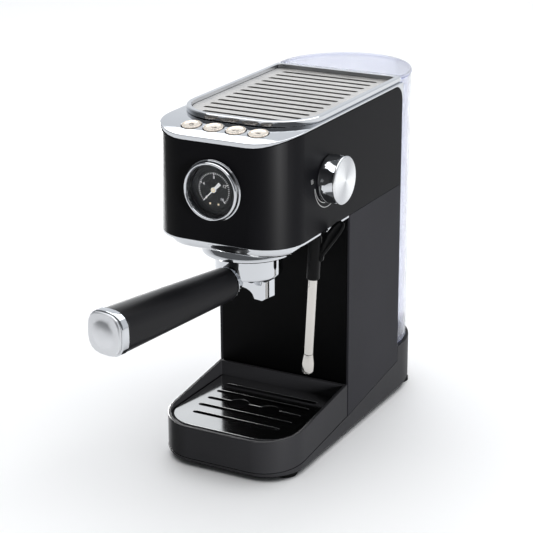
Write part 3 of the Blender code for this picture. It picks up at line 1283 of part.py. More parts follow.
def build_inside():
    boiler_low = HEAD_BOTTOM + BOILER_CLEARANCE
    boiler_shape = box((-0.034, -0.022, boiler_low), (0.018, 0.072, boiler_low + BOILER_HEIGHT))
    boiler = make_object("thermoblock", boiler_shape, SATIN, 0.5, 1.0)
    bevel = boiler.modifiers.new("edges", "BEVEL")
    bevel.width = BOILER_EDGE
    bevel.segments = 2
    pump_axis = (PUMP_X, PUMP_Y, PUMP_LOW)
    pump = turned(
        [
            (0, 0),
            (0.006, 0),
            (0.006, 0.012),
            (PUMP_BODY_RADIUS, 0.012),
            (PUMP_BODY_RADIUS, 0.030),
            (PUMP_COIL_RADIUS, 0.030),
            (PUMP_COIL_RADIUS, PUMP_LENGTH - 0.028),
            (0.012, PUMP_LENGTH - 0.028),
            (0.012, PUMP_LENGTH - 0.016),
            (0.005, PUMP_LENGTH - 0.016),
            (0.005, PUMP_LENGTH),
            (0, PUMP_LENGTH),
        ],
        24,
        pump_axis,
    )
    make_object("pump", pump, DARK, 0.5)
    mount = tube_ring(PUMP_COIL_RADIUS - 0.002, PUMP_BODY_RADIUS + GAP, 0.014, 0.030 - GAP, 20, pump_axis)
    make_object("pump_mount", mount, RUBBER, 0.8)
    valve = box((0.024, -0.006, boiler_low), (0.048, 0.030, boiler_low + BOILER_HEIGHT - 0.006))
    make_object("solenoid_valve", valve, DARK, 0.5)
    board_side = BOARD_CLEARANCE - SHELL_INNER
    board = box((board_side, 0.014, 0.070), (board_side + BOARD_THICKNESS, 0.098, 0.190))
    make_object("control_board", board, BOARD_GREEN, 0.5)
    seat_low = REAR_BLOCK_TOP - BASE_WALL - 0.0135
    suction = [
        (0.0, OUTLET_Y, seat_low),
        (0.0, OUTLET_Y, seat_low - 0.010),
        (0.0, OUTLET_Y - 0.014, seat_low - 0.017),
        (HOSE_X, HOSE_Y + 0.008, 0.012),
        (HOSE_X, HOSE_Y, 0.024),
        (HOSE_X, HOSE_Y - 0.002, PUMP_LOW - 0.020),
        (PUMP_X, PUMP_Y + 0.006, PUMP_LOW - 0.012),
        (PUMP_X, PUMP_Y, PUMP_LOW - 0.001),
    ]
    make_hose("suction_hose", suction, SUCTION_RADIUS)
    pump_top = PUMP_LOW + PUMP_LENGTH + 0.001
    pressure = [
        (PUMP_X, PUMP_Y, pump_top),
        (PUMP_X, PUMP_Y, pump_top + 0.012),
        (PUMP_X - 0.008, PUMP_Y + 0.014, pump_top + 0.030),
        (-0.008, 0.088, boiler_low - 0.004),
        (-0.008, 0.086, boiler_low + 0.012),
        (-0.008, 0.080, boiler_low + 0.018),
        (-0.008, 0.0735, boiler_low + 0.018),
    ]
    make_hose("pressure_hose", pressure, PRESSURE_RADIUS)


clear_scene()
CAP_BULGE = (HANDLE_END_WIDTH / 2 - END_FACE) * DOME_SHARE * math.sin(HANDLE_YAW)
HANDLE_FRONT = GROUP_Y - (HANDLE_REACH - END_DOME / 5) * math.cos(HANDLE_YAW) - CAP_BULGE
OUTLINE_CENTRE = Vector(((CAP_FACE - HALF_WIDTH) / 2, (TANK_REAR + 0.0018 + HANDLE_FRONT) / 2, 0))
DATUM = make_empty("datum", (-OUTLINE_CENTRE.x, -OUTLINE_CENTRE.y, FOOT_HEIGHT))
DECK_SLOPE = math.atan(2 * DECK_FRONT_DROP * (HEAD_FRONT + DECK_ROLL_LENGTH - BUTTON_Y) / DECK_ROLL_LENGTH**2)
BUTTON_FRAME = make_empty("button_frame", (0, BUTTON_Y, deck_height(BUTTON_Y)), DATUM, (DECK_SLOPE, 0, 0))
WAND_FRAME = make_empty(
    "wand_frame", WAND_PIVOT, DATUM, (-math.radians(WAND_LEAN_FORWARD_DEG), math.radians(WAND_LEAN_IN_DEG), 0)
)
PORTAFILTER_FRAME = make_empty("portafilter_frame", (0, GROUP_Y, 0), DATUM, (0, 0, -HANDLE_YAW))
build_base()
build_column()
build_head()
build_buttons()
build_gauge()
build_steam_knob()
build_wand()
build_group()
build_portafilter()
build_tray()
build_tank()
build_inside()
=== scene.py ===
import json
import math

import bpy
from mathutils import Matrix, Vector


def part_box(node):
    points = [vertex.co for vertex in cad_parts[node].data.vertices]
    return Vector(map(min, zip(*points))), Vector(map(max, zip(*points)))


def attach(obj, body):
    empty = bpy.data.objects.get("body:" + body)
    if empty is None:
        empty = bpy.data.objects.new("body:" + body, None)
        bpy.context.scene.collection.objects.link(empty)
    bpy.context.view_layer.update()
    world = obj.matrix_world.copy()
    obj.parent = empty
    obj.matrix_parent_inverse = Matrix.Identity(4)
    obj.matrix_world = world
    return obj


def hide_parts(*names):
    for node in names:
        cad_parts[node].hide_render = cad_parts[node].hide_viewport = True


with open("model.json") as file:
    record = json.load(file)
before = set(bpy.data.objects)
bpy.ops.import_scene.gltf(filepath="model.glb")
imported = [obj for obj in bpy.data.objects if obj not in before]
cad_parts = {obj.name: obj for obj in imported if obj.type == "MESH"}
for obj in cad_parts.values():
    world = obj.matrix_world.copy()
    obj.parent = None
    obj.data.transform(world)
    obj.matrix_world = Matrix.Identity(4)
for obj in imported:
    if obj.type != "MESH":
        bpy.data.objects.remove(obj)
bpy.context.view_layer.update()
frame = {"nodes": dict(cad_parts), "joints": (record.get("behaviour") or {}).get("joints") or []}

MIDDLE = (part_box("head_shell")[0].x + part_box("head_shell")[1].x) / 2
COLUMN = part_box("column_panel")[0].y
FLOOR = 0.0


# ---- The studio ----
# A pale worktop stands under one large soft box, and the air is bright behind the machine and dark before it.
# Two narrow strips at the sides reach only the black pieces. The camera stands in front and to the right, a
# little above the machine, with a long lens.
def add_softbox(name, place, aim, size, watts, tint=(1.0, 1.0, 1.0)):
    bpy.ops.object.light_add(type="AREA", location=place)
    lamp = bpy.context.object
    lamp.name = name
    lamp.data.shape = "RECTANGLE"
    lamp.data.size, lamp.data.size_y = size
    lamp.data.energy = watts
    lamp.data.color = tint
    lamp.rotation_euler = (Vector(place) - Vector(aim)).to_track_quat("Z", "Y").to_euler()
    return lamp


def edge_lit(piece):
    """Lets the two narrow side lights, which only draw soft lines down black walls, fall on a piece."""
    edge_lit_pieces.objects.link(piece)


bpy.ops.object.select_all(action="DESELECT")
WORKTOP_SIZE = 14.0
bpy.ops.mesh.primitive_plane_add(size=WORKTOP_SIZE, location=(0, 0, FLOOR))
worktop = bpy.context.object
worktop.name = "worktop"
pale = bpy.data.materials.new("pale_worktop")
pale.use_nodes = True
pale_shader = pale.node_tree.nodes["Principled BSDF"]
pale_shader.inputs["Base Color"].default_value = (0.93, 0.93, 0.93, 1.0)
pale_shader.inputs["Roughness"].default_value = 0.7
worktop.data.materials.append(pale)

world = bpy.data.worlds.new("studio_air")
bpy.context.scene.world = world
world.use_nodes = True
air = world.node_tree.nodes["Background"]
air_nodes, air_links = world.node_tree.nodes, world.node_tree.links
air_way = air_nodes.new("ShaderNodeTexCoord")
air_split = air_nodes.new("ShaderNodeSeparateXYZ")
air_links.new(air_way.outputs["Generated"], air_split.inputs["Vector"])
air_back = air_nodes.new("ShaderNodeMapRange")
air_back.interpolation_type = "SMOOTHSTEP"
air_back.inputs["From Min"].default_value = -0.35
air_back.inputs["From Max"].default_value = 0.75
air_back.inputs["To Min"].default_value = 0.14
air_back.inputs["To Max"].default_value = 0.92
air_links.new(air_split.outputs["Y"], air_back.inputs["Value"])
air_tone = air_nodes.new("ShaderNodeValToRGB")
air_tone.color_ramp.elements[0].color = (0.0, 0.0, 0.0, 1.0)
air_tone.color_ramp.elements[1].color = (0.93, 0.96, 1.0, 1.0)
air_links.new(air_back.outputs["Result"], air_tone.inputs["Fac"])
air_links.new(air_tone.outputs["Color"], air.inputs["Color"])
add_softbox("softbox_top", (0.0, 0.6, 3.2), (0, 0.3, 0.0), (5.0, 5.0), 150)
edge_lit_pieces = bpy.data.collections.new("edge_lit_pieces")
STRIP_AIM = (0, 0, 0.15)
STRIP_SIZE = (0.26, 0.5)
left_strip = add_softbox("softbox_left", (-1.2, 0.66, 0.27), STRIP_AIM, STRIP_SIZE, 260)
right_strip = add_softbox("softbox_right", (1.35, -0.75, 0.30), STRIP_AIM, STRIP_SIZE, 75)
for strip in (left_strip, right_strip):
    strip.light_linking.receiver_collection = edge_lit_pieces

AZIMUTH, ELEVATION, ROLL = math.radians(28.666), math.radians(19.482), math.radians(-0.382)
CAMERA_RIGHT, CAMERA_AHEAD, CAMERA_HEIGHT = 0.73036, 1.36857, 0.71055  # from the middle of the column
LENS, SENSOR, FAR_END = 117.07, 36.0, 40.0
bpy.ops.object.camera_add(location=(MIDDLE + CAMERA_RIGHT, COLUMN - CAMERA_AHEAD, CAMERA_HEIGHT))
camera = bpy.context.object
camera.data.sensor_width = SENSOR
camera.data.lens = LENS
camera.data.clip_end = FAR_END
turn = Matrix.Rotation(AZIMUTH, 3, "Z")
turn = turn @ Matrix.Rotation(math.pi / 2 - ELEVATION, 3, "X")
turn = turn @ Matrix.Rotation(ROLL, 3, "Z")
camera.rotation_euler = turn.to_euler()
bpy.context.scene.camera = camera
bpy.context.scene.view_settings.view_transform = "Standard"


# ---- Base ----
# The base is one moulding in matt black ABS with a fine spark texture: a wedge under the tray and a
# block under the tank. A flat cover with a pressed lip closes it below, and four rubber feet are pushed in.
def clear_choice():
    bpy.ops.object.select_all(action="DESELECT")


def take_up(piece):
    clear_choice()
    piece.select_set(True)
    bpy.context.view_layer.objects.active = piece


def soften(piece, width, steps=2, angle=38):
    """Rounds every edge sharper than an angle, as tooling and polishing leave it."""
    take_up(piece)
    rounding = piece.modifiers.new("rounding", "BEVEL")
    rounding.width = width
    rounding.segments = steps
    rounding.limit_method = "ANGLE"
    rounding.angle_limit = math.radians(angle)
    rounding.use_clamp_overlap = True
    bpy.ops.object.modifier_apply(modifier=rounding.name)


def shade(piece, angle=32):
    """Smooth where it is round; each corner's shading leans on the larger face beside it."""
    take_up(piece)
    bpy.ops.object.shade_smooth_by_angle(angle=math.radians(angle))
    leaning = piece.modifiers.new("leaning", "WEIGHTED_NORMAL")
    leaning.keep_sharp = True
    bpy.ops.object.modifier_apply(modifier=leaning.name)


def finished(node, body, material, edge=0.0004, steps=2, angle=32):
    """The finished skin of a solid: its surfaces merged, its edges softened, smooth where it is round."""
    solid = frame["nodes"][node]
    piece = bpy.data.objects.new(node + "_finish", solid.data.copy())
    bpy.context.scene.collection.objects.link(piece)
    take_up(piece)
    bpy.ops.object.mode_set(mode="EDIT")
    bpy.ops.mesh.select_all(action="SELECT")
    bpy.ops.mesh.remove_doubles(threshold=0.00001)
    bpy.ops.mesh.dissolve_limited(angle_limit=math.radians(0.6))
    bpy.ops.object.mode_set(mode="OBJECT")
    if edge:
        soften(piece, edge, steps)
    shade(piece, angle)
    put_finish(piece, material)
    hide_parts(node)
    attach(piece, body)
    return piece


def put_finish(piece, material):
    piece.data.materials.clear()
    piece.data.materials.append(material)


def grained(
    name, color, metallic, roughness, spread, grain, depth, stretch=(1, 1, 1), mottle=0.08, shine=0.06
):
    """A finish with a fine grain in its relief and its gloss, and a slow drift in its colour."""
    material = bpy.data.materials.new(name)
    material.use_nodes = True
    nodes, links = material.node_tree.nodes, material.node_tree.links
    shader = nodes["Principled BSDF"]
    shader.inputs["Metallic"].default_value = metallic
    shader.inputs["Specular IOR Level"].default_value = 0.5 if metallic else shine
    place = nodes.new("ShaderNodeTexCoord")
    turn_grain = nodes.new("ShaderNodeMapping")
    turn_grain.inputs["Scale"].default_value = stretch
    links.new(place.outputs["Object"], turn_grain.inputs["Vector"])
    fine = nodes.new("ShaderNodeTexNoise")
    fine.inputs["Scale"].default_value = grain
    fine.inputs["Detail"].default_value = 4.0
    links.new(turn_grain.outputs["Vector"], fine.inputs["Vector"])
    gloss = nodes.new("ShaderNodeMapRange")
    gloss.inputs["From Min"].default_value = 0.3
    gloss.inputs["From Max"].default_value = 0.7
    gloss.inputs["To Min"].default_value = max(roughness - spread, 0.0)
    gloss.inputs["To Max"].default_value = roughness + spread
    links.new(fine.outputs["Fac"], gloss.inputs["Value"])
    links.new(gloss.outputs["Result"], shader.inputs["Roughness"])
    relief = nodes.new("ShaderNodeBump")
    relief.inputs["Strength"].default_value = 0.35
    relief.inputs["Distance"].default_value = depth
    links.new(fine.outputs["Fac"], relief.inputs["Height"])
    links.new(relief.outputs["Normal"], shader.inputs["Normal"])
    drift = nodes.new("ShaderNodeTexNoise")
    drift.inputs["Scale"].default_value = 14.0
    links.new(place.outputs["Object"], drift.inputs["Vector"])
    shades = nodes.new("ShaderNodeValToRGB")
    shades.color_ramp.elements[0].position = 0.3
    shades.color_ramp.elements[1].position = 0.7
    shades.color_ramp.elements[0].color = [c * (1 - mottle) for c in color] + [1.0]
    shades.color_ramp.elements[1].color = [min(c * (1 + mottle), 1.0) for c in color] + [1.0]
    links.new(drift.outputs["Fac"], shades.inputs["Fac"])
    links.new(shades.outputs["Color"], shader.inputs["Base Color"])
    return material


MOULDED_BLACK = grained("moulded_black_abs", (0.010, 0.010, 0.011), 0.0, 0.46, 0.06, 1400.0, 0.00004)
INNER_BLACK = grained("inner_black_plastic", (0.02, 0.02, 0.021), 0.0, 0.6, 0.08, 900.0, 0.00005)
RUBBER = grained("foot_rubber", (0.016, 0.016, 0.016), 0.0, 0.8, 0.08, 700.0, 0.00008)
edge_lit(finished("base_chassis", "machine", MOULDED_BLACK, 0.0005))
finished("base_cover", "machine", INNER_BLACK, 0.0003)
finished("cord_gland", "machine", RUBBER, 0.0004)

FOOT_RIM = 0.003
FOOT_DISH = 0.0008
FOOT_STUD_INSET = 0.0025
FOOT_STUD = 0.0006
for foot_name in ("foot_front_left", "foot_front_right", "foot_rear_left", "foot_rear_right"):
    low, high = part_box(foot_name)
    clear_choice()
    bpy.ops.mesh.primitive_cylinder_add(
        vertices=48, radius=(high.x - low.x) / 2, depth=high.z - low.z, location=(low + high) / 2
    )
    foot = bpy.context.object
    foot.name = foot_name + "_rubber"
    bpy.ops.object.transform_apply(location=True, rotation=True, scale=True)
    bpy.ops.object.mode_set(mode="EDIT")
    bpy.ops.mesh.select_all(action="DESELECT")
    bpy.ops.object.mode_set(mode="OBJECT")
    for face in foot.data.polygons:
        face.select = face.normal.z < -0.9
    bpy.ops.object.mode_set(mode="EDIT")
    bpy.ops.mesh.inset(thickness=FOOT_RIM)
    bpy.ops.mesh.extrude_region_move(TRANSFORM_OT_translate={"value": (0, 0, FOOT_DISH)})
    bpy.ops.mesh.inset(thickness=FOOT_STUD_INSET)
    bpy.ops.mesh.extrude_region_move(TRANSFORM_OT_translate={"value": (0, 0, -FOOT_STUD)})
    bpy.ops.object.mode_set(mode="OBJECT")
    soften(foot, 0.0005)
    shade(foot)
    put_finish(foot, RUBBER)
    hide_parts(foot_name)
    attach(foot, "machine")


# ---- Column ----
# Two painted steel side panels with a satin charcoal powder coat stand on the base. Between them sits
# a smooth black front panel behind the cup, and a plain panel behind the tank closes the rear.
POWDER_COAT = grained("charcoal_powder_coat", (0.007, 0.007, 0.0085), 0.0, 0.50, 0.05, 1800.0, 0.00003)
SATIN_BLACK = grained("satin_black_paint", (0.0014, 0.0015, 0.0018), 0.0, 0.42, 0.03, 2200.0, 0.00001)
edge_lit(finished("side_panel_left", "machine", POWDER_COAT, 0.0004))
edge_lit(finished("side_panel_right", "machine", POWDER_COAT, 0.0004))
finished("column_panel", "machine", SATIN_BLACK, 0.0004)
finished("back_panel", "machine", INNER_BLACK, 0.0005)


# ---- Head shell ----
# A folded steel wrap with a satin black paint, rolled down at its front top edge. It screws to the
# column from inside. A white wedge and a small steam mark are printed on its side below the knob.
SHELL_PAINT = grained("satin_black_shell", (0.0010, 0.0010, 0.0014), 0.0, 0.46, 0.03, 2400.0, 0.00001)
edge_lit(finished("head_shell", "machine", SHELL_PAINT, 0.0005))

PRINT_WHITE = grained("printed_white", (0.88, 0.88, 0.87), 0.0, 0.5, 0.05, 900.0, 0.00001)
knob_low, knob_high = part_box("steam_knob_cap")
knob_y, knob_z = (knob_low.y + knob_high.y) / 2, (knob_low.z + knob_high.z) / 2
shell_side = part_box("head_shell")[1].x
PRINT_LIFT = 0.00006


def print_line(name, points, width, closed=False):
    """A printed line on the right side wall: a flat ribbon through (y, z) points."""
    clear_choice()
    bpy.ops.mesh.primitive_plane_add(size=0.001)
    line = bpy.context.object
    line.name = name
    vertices, faces = [], []
    count = len(points)
    for i, (y, z) in enumerate(points):
        before = points[(i - 1) % count] if closed or i else points[i]
        after = points[(i + 1) % count] if closed or i < count - 1 else points[i]
        along = Vector((after[0] - before[0], after[1] - before[1])).normalized()
        across = Vector((-along.y, along.x)) * width / 2
        for sign in (-1, 1):
            vertices.append((shell_side + PRINT_LIFT, y + sign * across.x, z + sign * across.y))
    for i in range(count if closed else count - 1):
        a, b = 2 * i, 2 * ((i + 1) % count)
        faces.append((a, a + 1, b + 1, b))
    line.data.clear_geometry()
    line.data.from_pydata(vertices, [], faces)
    line.location = (0, 0, 0)
    for face in line.data.polygons:
        if face.normal.x < 0:
            face.flip()
    put_finish(line, PRINT_WHITE)
    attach(line, "machine")
    return line


WEDGE_OUTSIDE = 0.0262  # round the knob's axis
WEDGE_INSIDE = 0.0208
WEDGE_TAPER = 0.0045
WEDGE_START, WEDGE_SWEEP, WEDGE_STEPS = 188, 112, 32
WEDGE_LINE = 0.0006
wedge = []
for i in range(WEDGE_STEPS + 1):
    angle = math.radians(WEDGE_START + WEDGE_SWEEP * i / WEDGE_STEPS)
    wedge.append((knob_y + WEDGE_OUTSIDE * math.cos(angle), knob_z + WEDGE_OUTSIDE * math.sin(angle)))
for i in range(WEDGE_STEPS + 1):
    angle = math.radians(WEDGE_START + WEDGE_SWEEP - WEDGE_SWEEP * i / WEDGE_STEPS)
    radius = WEDGE_INSIDE + WEDGE_TAPER * (i / WEDGE_STEPS) ** 1.5
    wedge.append((knob_y + radius * math.cos(angle), knob_z + radius * math.sin(angle)))
print_line("steam_scale_print", wedge, WEDGE_LINE, closed=True)
PLUME_AHEAD, PLUME_ABOVE = 0.0322, 0.0022  # first plume, from the knob's axis
PLUME_SPACING, PLUME_SWAY, PLUME_STEP = 0.0016, 0.0004, 0.0006
for i in range(3):
    foot_y = knob_y - PLUME_AHEAD + PLUME_SPACING * i
    plume = []
    for k in range(8):
        plume.append((foot_y + PLUME_SWAY * math.sin(k * 0.9), knob_z + PLUME_ABOVE + PLUME_STEP * k))
    print_line(f"steam_mark_print_{i + 1}", plume, 0.0005)


# ---- Top deck ----
# A die-cast deck with bright chrome closes the head. It rolls down at the front with the shell and has
# four bores for the buttons. Under the cup plate it is open to a black pan that keeps spills out.
def mirror_chrome(name, color=(0.62, 0.635, 0.66), roughness=0.045):
    return grained(name, color, 1.0, roughness, 0.02, 260.0, 0.0000015, mottle=0.02)


CHROME = mirror_chrome("bright_chrome")
finished("top_deck", "machine", CHROME, 0.0006, 3)
plate_low, plate_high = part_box("cup_plate")
PAN_WIDTH = 0.104
PAN_THICKNESS = 0.0012
PAN_MARGIN = 0.048  # the plate is longer than the pan by this
PAN_SETBACK = 0.004
PAN_DROP = 0.0075
pan_y = (plate_low.y + plate_high.y) / 2 + PAN_SETBACK
clear_choice()
bpy.ops.mesh.primitive_cube_add(size=1.0, location=(MIDDLE, pan_y, plate_low.z - PAN_DROP))
pan = bpy.context.object
pan.name = "spill_pan"
pan.scale = (PAN_WIDTH, (plate_high.y - plate_low.y) - PAN_MARGIN, PAN_THICKNESS)
bpy.ops.object.transform_apply(location=True, rotation=True, scale=True)
bpy.ops.object.mode_set(mode="EDIT")
bpy.ops.mesh.select_all(action="DESELECT")
bpy.ops.object.mode_set(mode="OBJECT")
for face in pan.data.polygons:
    face.select = face.normal.z > 0.9
bpy.ops.object.mode_set(mode="EDIT")
bpy.ops.mesh.inset(thickness=PAN_THICKNESS)
bpy.ops.object.mode_set(mode="OBJECT")
soften(pan, 0.0003)
shade(pan)
put_finish(pan, INNER_BLACK)
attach(pan, "machine")


# ---- Cup rail and cup plate ----
# A chrome rail stands round a brushed stainless plate with stamped slots, where cups warm over the
# boiler. The brush marks run across the machine, along the slots.
BRUSHED = grained("brushed_stainless", (0.62, 0.60, 0.575), 1.0, 0.32, 0.09, 900.0, 0.00002, (0.04, 1.0, 1.0))
finished("cup_rail", "machine", CHROME, 0.0009, 3)
finished("cup_plate", "machine", BRUSHED, 0.0004, 2)


# ---- Buttons ----
# Four round push buttons in champagne-plated ABS, each dished, with a rim and a sunk mark: power, one
# cup, two cups and steam. Each slides straight down its bore on a spring.
CHAMPAGNE = grained("champagne_plating", (0.80, 0.72, 0.63), 1.0, 0.20, 0.04, 500.0, 0.000003)
MARK_BROWN = grained("button_mark", (0.10, 0.08, 0.07), 0.2, 0.5, 0.05, 600.0, 0.00001)
button_marks = {
    1: [("ring", 0.0, 0.0, 0.0020, 60, 480), ("bar", 0.0, 0.0015, 0.0, 0, 0)],
    2: [("ring", 0.0, 0.0004, 0.0017, 180, 360), ("ring", 0.0021, 0.0, 0.0008, 0, 360)],
    3: [("ring", -0.0019, 0.0, 0.0013, 180, 360), ("ring", 0.0015, 0.0, 0.0013, 180, 360)],
    4: [
        ("ring", 0.0, 0.0, 0.0009, 0, 360),
        ("bar", -0.0018, 0.0, 0.0, 0, 0),
        ("bar", 0.0018, 0.0, 0.0, 0, 0),
    ],
}
MARK_LINE = 0.00022  # half the width of a mark's line
MARK_BAR = 0.0020
BUTTON_RIM = 0.0009
RIM_DROP = 0.0007
RIM_GROOVE = 0.0004
CROWN_RISE = 0.0006
DISH_STEPS = ((0.0014, 0.00025), (0.0022, 0.0002))  # width and fall of each step of the dish
MARK_SINK = 0.0005
press = Vector([j for j in frame["joints"] if j["name"] == "button_1_press"][0]["axis"]) * -1
tilt = math.atan2(-press.y, press.z)
for number in range(1, 5):
    low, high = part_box(f"button_{number}")
    middle = (low + high) / 2
    radius = (high.x - low.x) / 2
    height = ((high.y - low.y) - 2 * radius * math.cos(tilt)) / math.sin(tilt)
    clear_choice()
    bpy.ops.mesh.primitive_cylinder_add(vertices=64, radius=radius, depth=height, location=(0, 0, 0))
    cap = bpy.context.object
    cap.name = f"button_{number}_cap"
    bpy.ops.object.mode_set(mode="EDIT")
    bpy.ops.mesh.select_all(action="DESELECT")
    bpy.ops.object.mode_set(mode="OBJECT")
    for face in cap.data.polygons:
        face.select = face.normal.z > 0.9
    bpy.ops.object.mode_set(mode="EDIT")
    bpy.ops.mesh.inset(thickness=BUTTON_RIM)
    bpy.ops.mesh.extrude_region_move(TRANSFORM_OT_translate={"value": (0, 0, -RIM_DROP)})
    bpy.ops.mesh.inset(thickness=RIM_GROOVE)
    bpy.ops.mesh.extrude_region_move(TRANSFORM_OT_translate={"value": (0, 0, CROWN_RISE)})
    for dish_width, dish_fall in DISH_STEPS:
        bpy.ops.mesh.inset(thickness=dish_width)
        bpy.ops.transform.translate(value=(0, 0, -dish_fall))
    bpy.ops.object.mode_set(mode="OBJECT")
    soften(cap, 0.0002)
    shade(cap, 40)
    put_finish(cap, CHAMPAGNE)
    cap.matrix_world = Matrix.Translation(middle) @ Matrix.Rotation(tilt, 4, "X")
    bpy.ops.object.transform_apply(location=True, rotation=True, scale=True)
    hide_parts(f"button_{number}")
    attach(cap, f"button_{number}_body")
    top = height / 2 - MARK_SINK
    for part, (kind, x, y, size, start, end) in enumerate(button_marks[number]):
        clear_choice()
        if kind == "ring":
            bpy.ops.mesh.primitive_torus_add(
                major_radius=size,
                minor_radius=MARK_LINE,
                major_segments=40,
                minor_segments=6,
                location=(x, y, top),
            )
            mark = bpy.context.object
            if end - start < 360 or start:
                bpy.ops.object.mode_set(mode="EDIT")
                bpy.ops.mesh.select_all(action="DESELECT")
                bpy.ops.object.mode_set(mode="OBJECT")
                for vertex in mark.data.vertices:
                    bearing = math.degrees(math.atan2(vertex.co.y, vertex.co.x)) % 360
                    drawn = start <= bearing <= end or start <= bearing + 360 <= end
                    vertex.select = not drawn
                bpy.ops.object.mode_set(mode="EDIT")
                bpy.ops.mesh.delete(type="VERT")
                bpy.ops.mesh.select_all(action="SELECT")
                bpy.ops.mesh.fill_holes(sides=8)
                bpy.ops.object.mode_set(mode="OBJECT")
        else:
            bpy.ops.mesh.primitive_cylinder_add(
                vertices=10,
                radius=MARK_LINE,
                depth=MARK_BAR,
                location=(x, y, top),
                rotation=(math.pi / 2, 0, 0),
            )
            mark = bpy.context.object
            soften(mark, 0.00008)
        mark.name = f"button_{number}_mark_{part + 1}"
        bpy.ops.object.transform_apply(location=True, rotation=True, scale=True)
        mark.matrix_world = Matrix.Translation(middle) @ Matrix.Rotation(tilt, 4, "X")
        bpy.ops.object.transform_apply(location=True, rotation=True, scale=True)
        shade(mark, 60)
        put_finish(mark, MARK_BROWN)
        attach(mark, f"button_{number}_body")


# ---- Pressure gauge ----
# A round pressure gauge: a chrome bezel in two steps, a flat glass, a dark dial with a printed scale from 0
# to 16 and two small screws, and a pale needle on a cream hub that a coiled tube inside the case turns.
finished("gauge_bezel", "machine", CHROME, 0.0004, 3, 40)
GAUGE_BLACK = grained("gauge_case_black", (0.02, 0.02, 0.021), 0.1, 0.5, 0.06, 900.0, 0.00002)
finished("gauge_case", "machine", GAUGE_BLACK, 0.0003)
DIAL_GREY = grained("dial_graphite", (0.030, 0.032, 0.034), 0.3, 0.42, 0.05, 1200.0, 0.00001)
finished("gauge_dial", "machine", DIAL_GREY, 0.0)
GAUGE_GLASS = grained("gauge_glass", (0.02, 0.022, 0.024), 0.0, 0.03, 0.01, 80.0, 0.0, mottle=0.0, shine=0.3)
GAUGE_GLASS.node_tree.nodes["Principled BSDF"].inputs["Alpha"].default_value = 0.06
finished("gauge_lens", "machine", GAUGE_GLASS, 0.0002)
NEEDLE_WHITE_GLOW = grained("needle_white_painted_glow", (0.86, 0.86, 0.85), 0.0, 0.4, 0.05, 700.0, 0.000005)
DIAL_WHITE_GLOW = grained("dial_white_painted_glow", (0.88, 0.88, 0.87), 0.0, 0.5, 0.05, 900.0, 0.00001)
HUB_CREAM_GLOW = grained("hub_cream_painted_glow", (0.80, 0.72, 0.52), 0.0, 0.35, 0.05, 600.0, 0.00001)
# Painted glow: the needle, the printed ticks and figures, the hub ring and the two screws give off a faint
# light of their own, which keeps them bright in the shade of the dial's recess behind the glass.
for bright in (NEEDLE_WHITE_GLOW, DIAL_WHITE_GLOW, HUB_CREAM_GLOW):
    glow_shader = bright.node_tree.nodes["Principled BSDF"]
    glow_shader.inputs["Emission Color"].default_value = (0.95, 0.97, 1.0, 1.0)
    glow_shader.inputs["Emission Strength"].default_value = 0.38
HUB_CREAM_GLOW.node_tree.nodes["Principled BSDF"].inputs["Emission Color"].default_value = (1.0, 0.86, 0.62, 1.0)
finished("gauge_needle", "needle", NEEDLE_WHITE_GLOW, 0.0001)
dial_low, dial_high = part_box("gauge_dial")
dial_x, dial_z, dial_face = (dial_low.x + dial_high.x) / 2, (dial_low.z + dial_high.z) / 2, dial_low.y
dial_radius = (dial_high.x - dial_low.x) / 2
PRINT_ABOVE = 0.00004  # the print's height over the dial
DIAL_TURN = 270  # the needle's sweep, from zero at 225 degrees
DIAL_ZERO = 225
TICKS = 40
TICK_RING = 0.70  # of the dial's radius
LONG_TICK, SHORT_TICK = 0.0024, 0.0014
LONG_LINE, SHORT_LINE = 0.00075, 0.00038
FIGURES = ("0", "4", "8", "12", "16")
FIGURE_RING = 0.50
FIGURE_SIZE = 0.0038
SCREW_SPREAD, SCREW_RING, SCREW_RADIUS = 0.0042, 0.58, 0.0010
SCREW_THICKNESS, SCREW_ABOVE = 0.0001, 0.00003
HUB_RING_RADIUS, HUB_RING_SECTION, HUB_RING_SINK = 0.0014, 0.0006, 0.0001
clear_choice()
bpy.ops.mesh.primitive_torus_add(
    major_radius=dial_radius * 0.80,
    minor_radius=0.00035,
    major_segments=72,
    minor_segments=8,
    location=(dial_x, dial_face, dial_z),
    rotation=(math.pi / 2, 0, 0),
)
dial_step = bpy.context.object
dial_step.name = "gauge_dial_step"
bpy.ops.object.transform_apply(location=True, rotation=True, scale=True)
shade(dial_step, 60)
put_finish(dial_step, DIAL_GREY)
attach(dial_step, "machine")
ticks = []
for i in range(TICKS + 1):
    long_tick = i % 10 == 0
    tick_length = LONG_TICK if long_tick else SHORT_TICK
    bearing = math.radians(DIAL_ZERO - DIAL_TURN * i / TICKS)
    reach = dial_radius * TICK_RING - tick_length / 2
    tick_x, tick_z = dial_x + reach * math.cos(bearing), dial_z + reach * math.sin(bearing)
    clear_choice()
    bpy.ops.mesh.primitive_cube_add(
        size=1.0, location=(tick_x, dial_face - PRINT_ABOVE, tick_z), rotation=(0, -bearing, 0)
    )
    tick = bpy.context.object
    tick.scale = (tick_length, 2 * PRINT_ABOVE, LONG_LINE if long_tick else SHORT_LINE)
    bpy.ops.object.transform_apply(location=True, rotation=True, scale=True)
    ticks.append(tick)
clear_choice()
for tick in ticks:
    tick.select_set(True)
bpy.context.view_layer.objects.active = ticks[0]
bpy.ops.object.join()
scale_print = bpy.context.object
scale_print.name = "gauge_scale_ticks"
put_finish(scale_print, DIAL_WHITE_GLOW)
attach(scale_print, "machine")
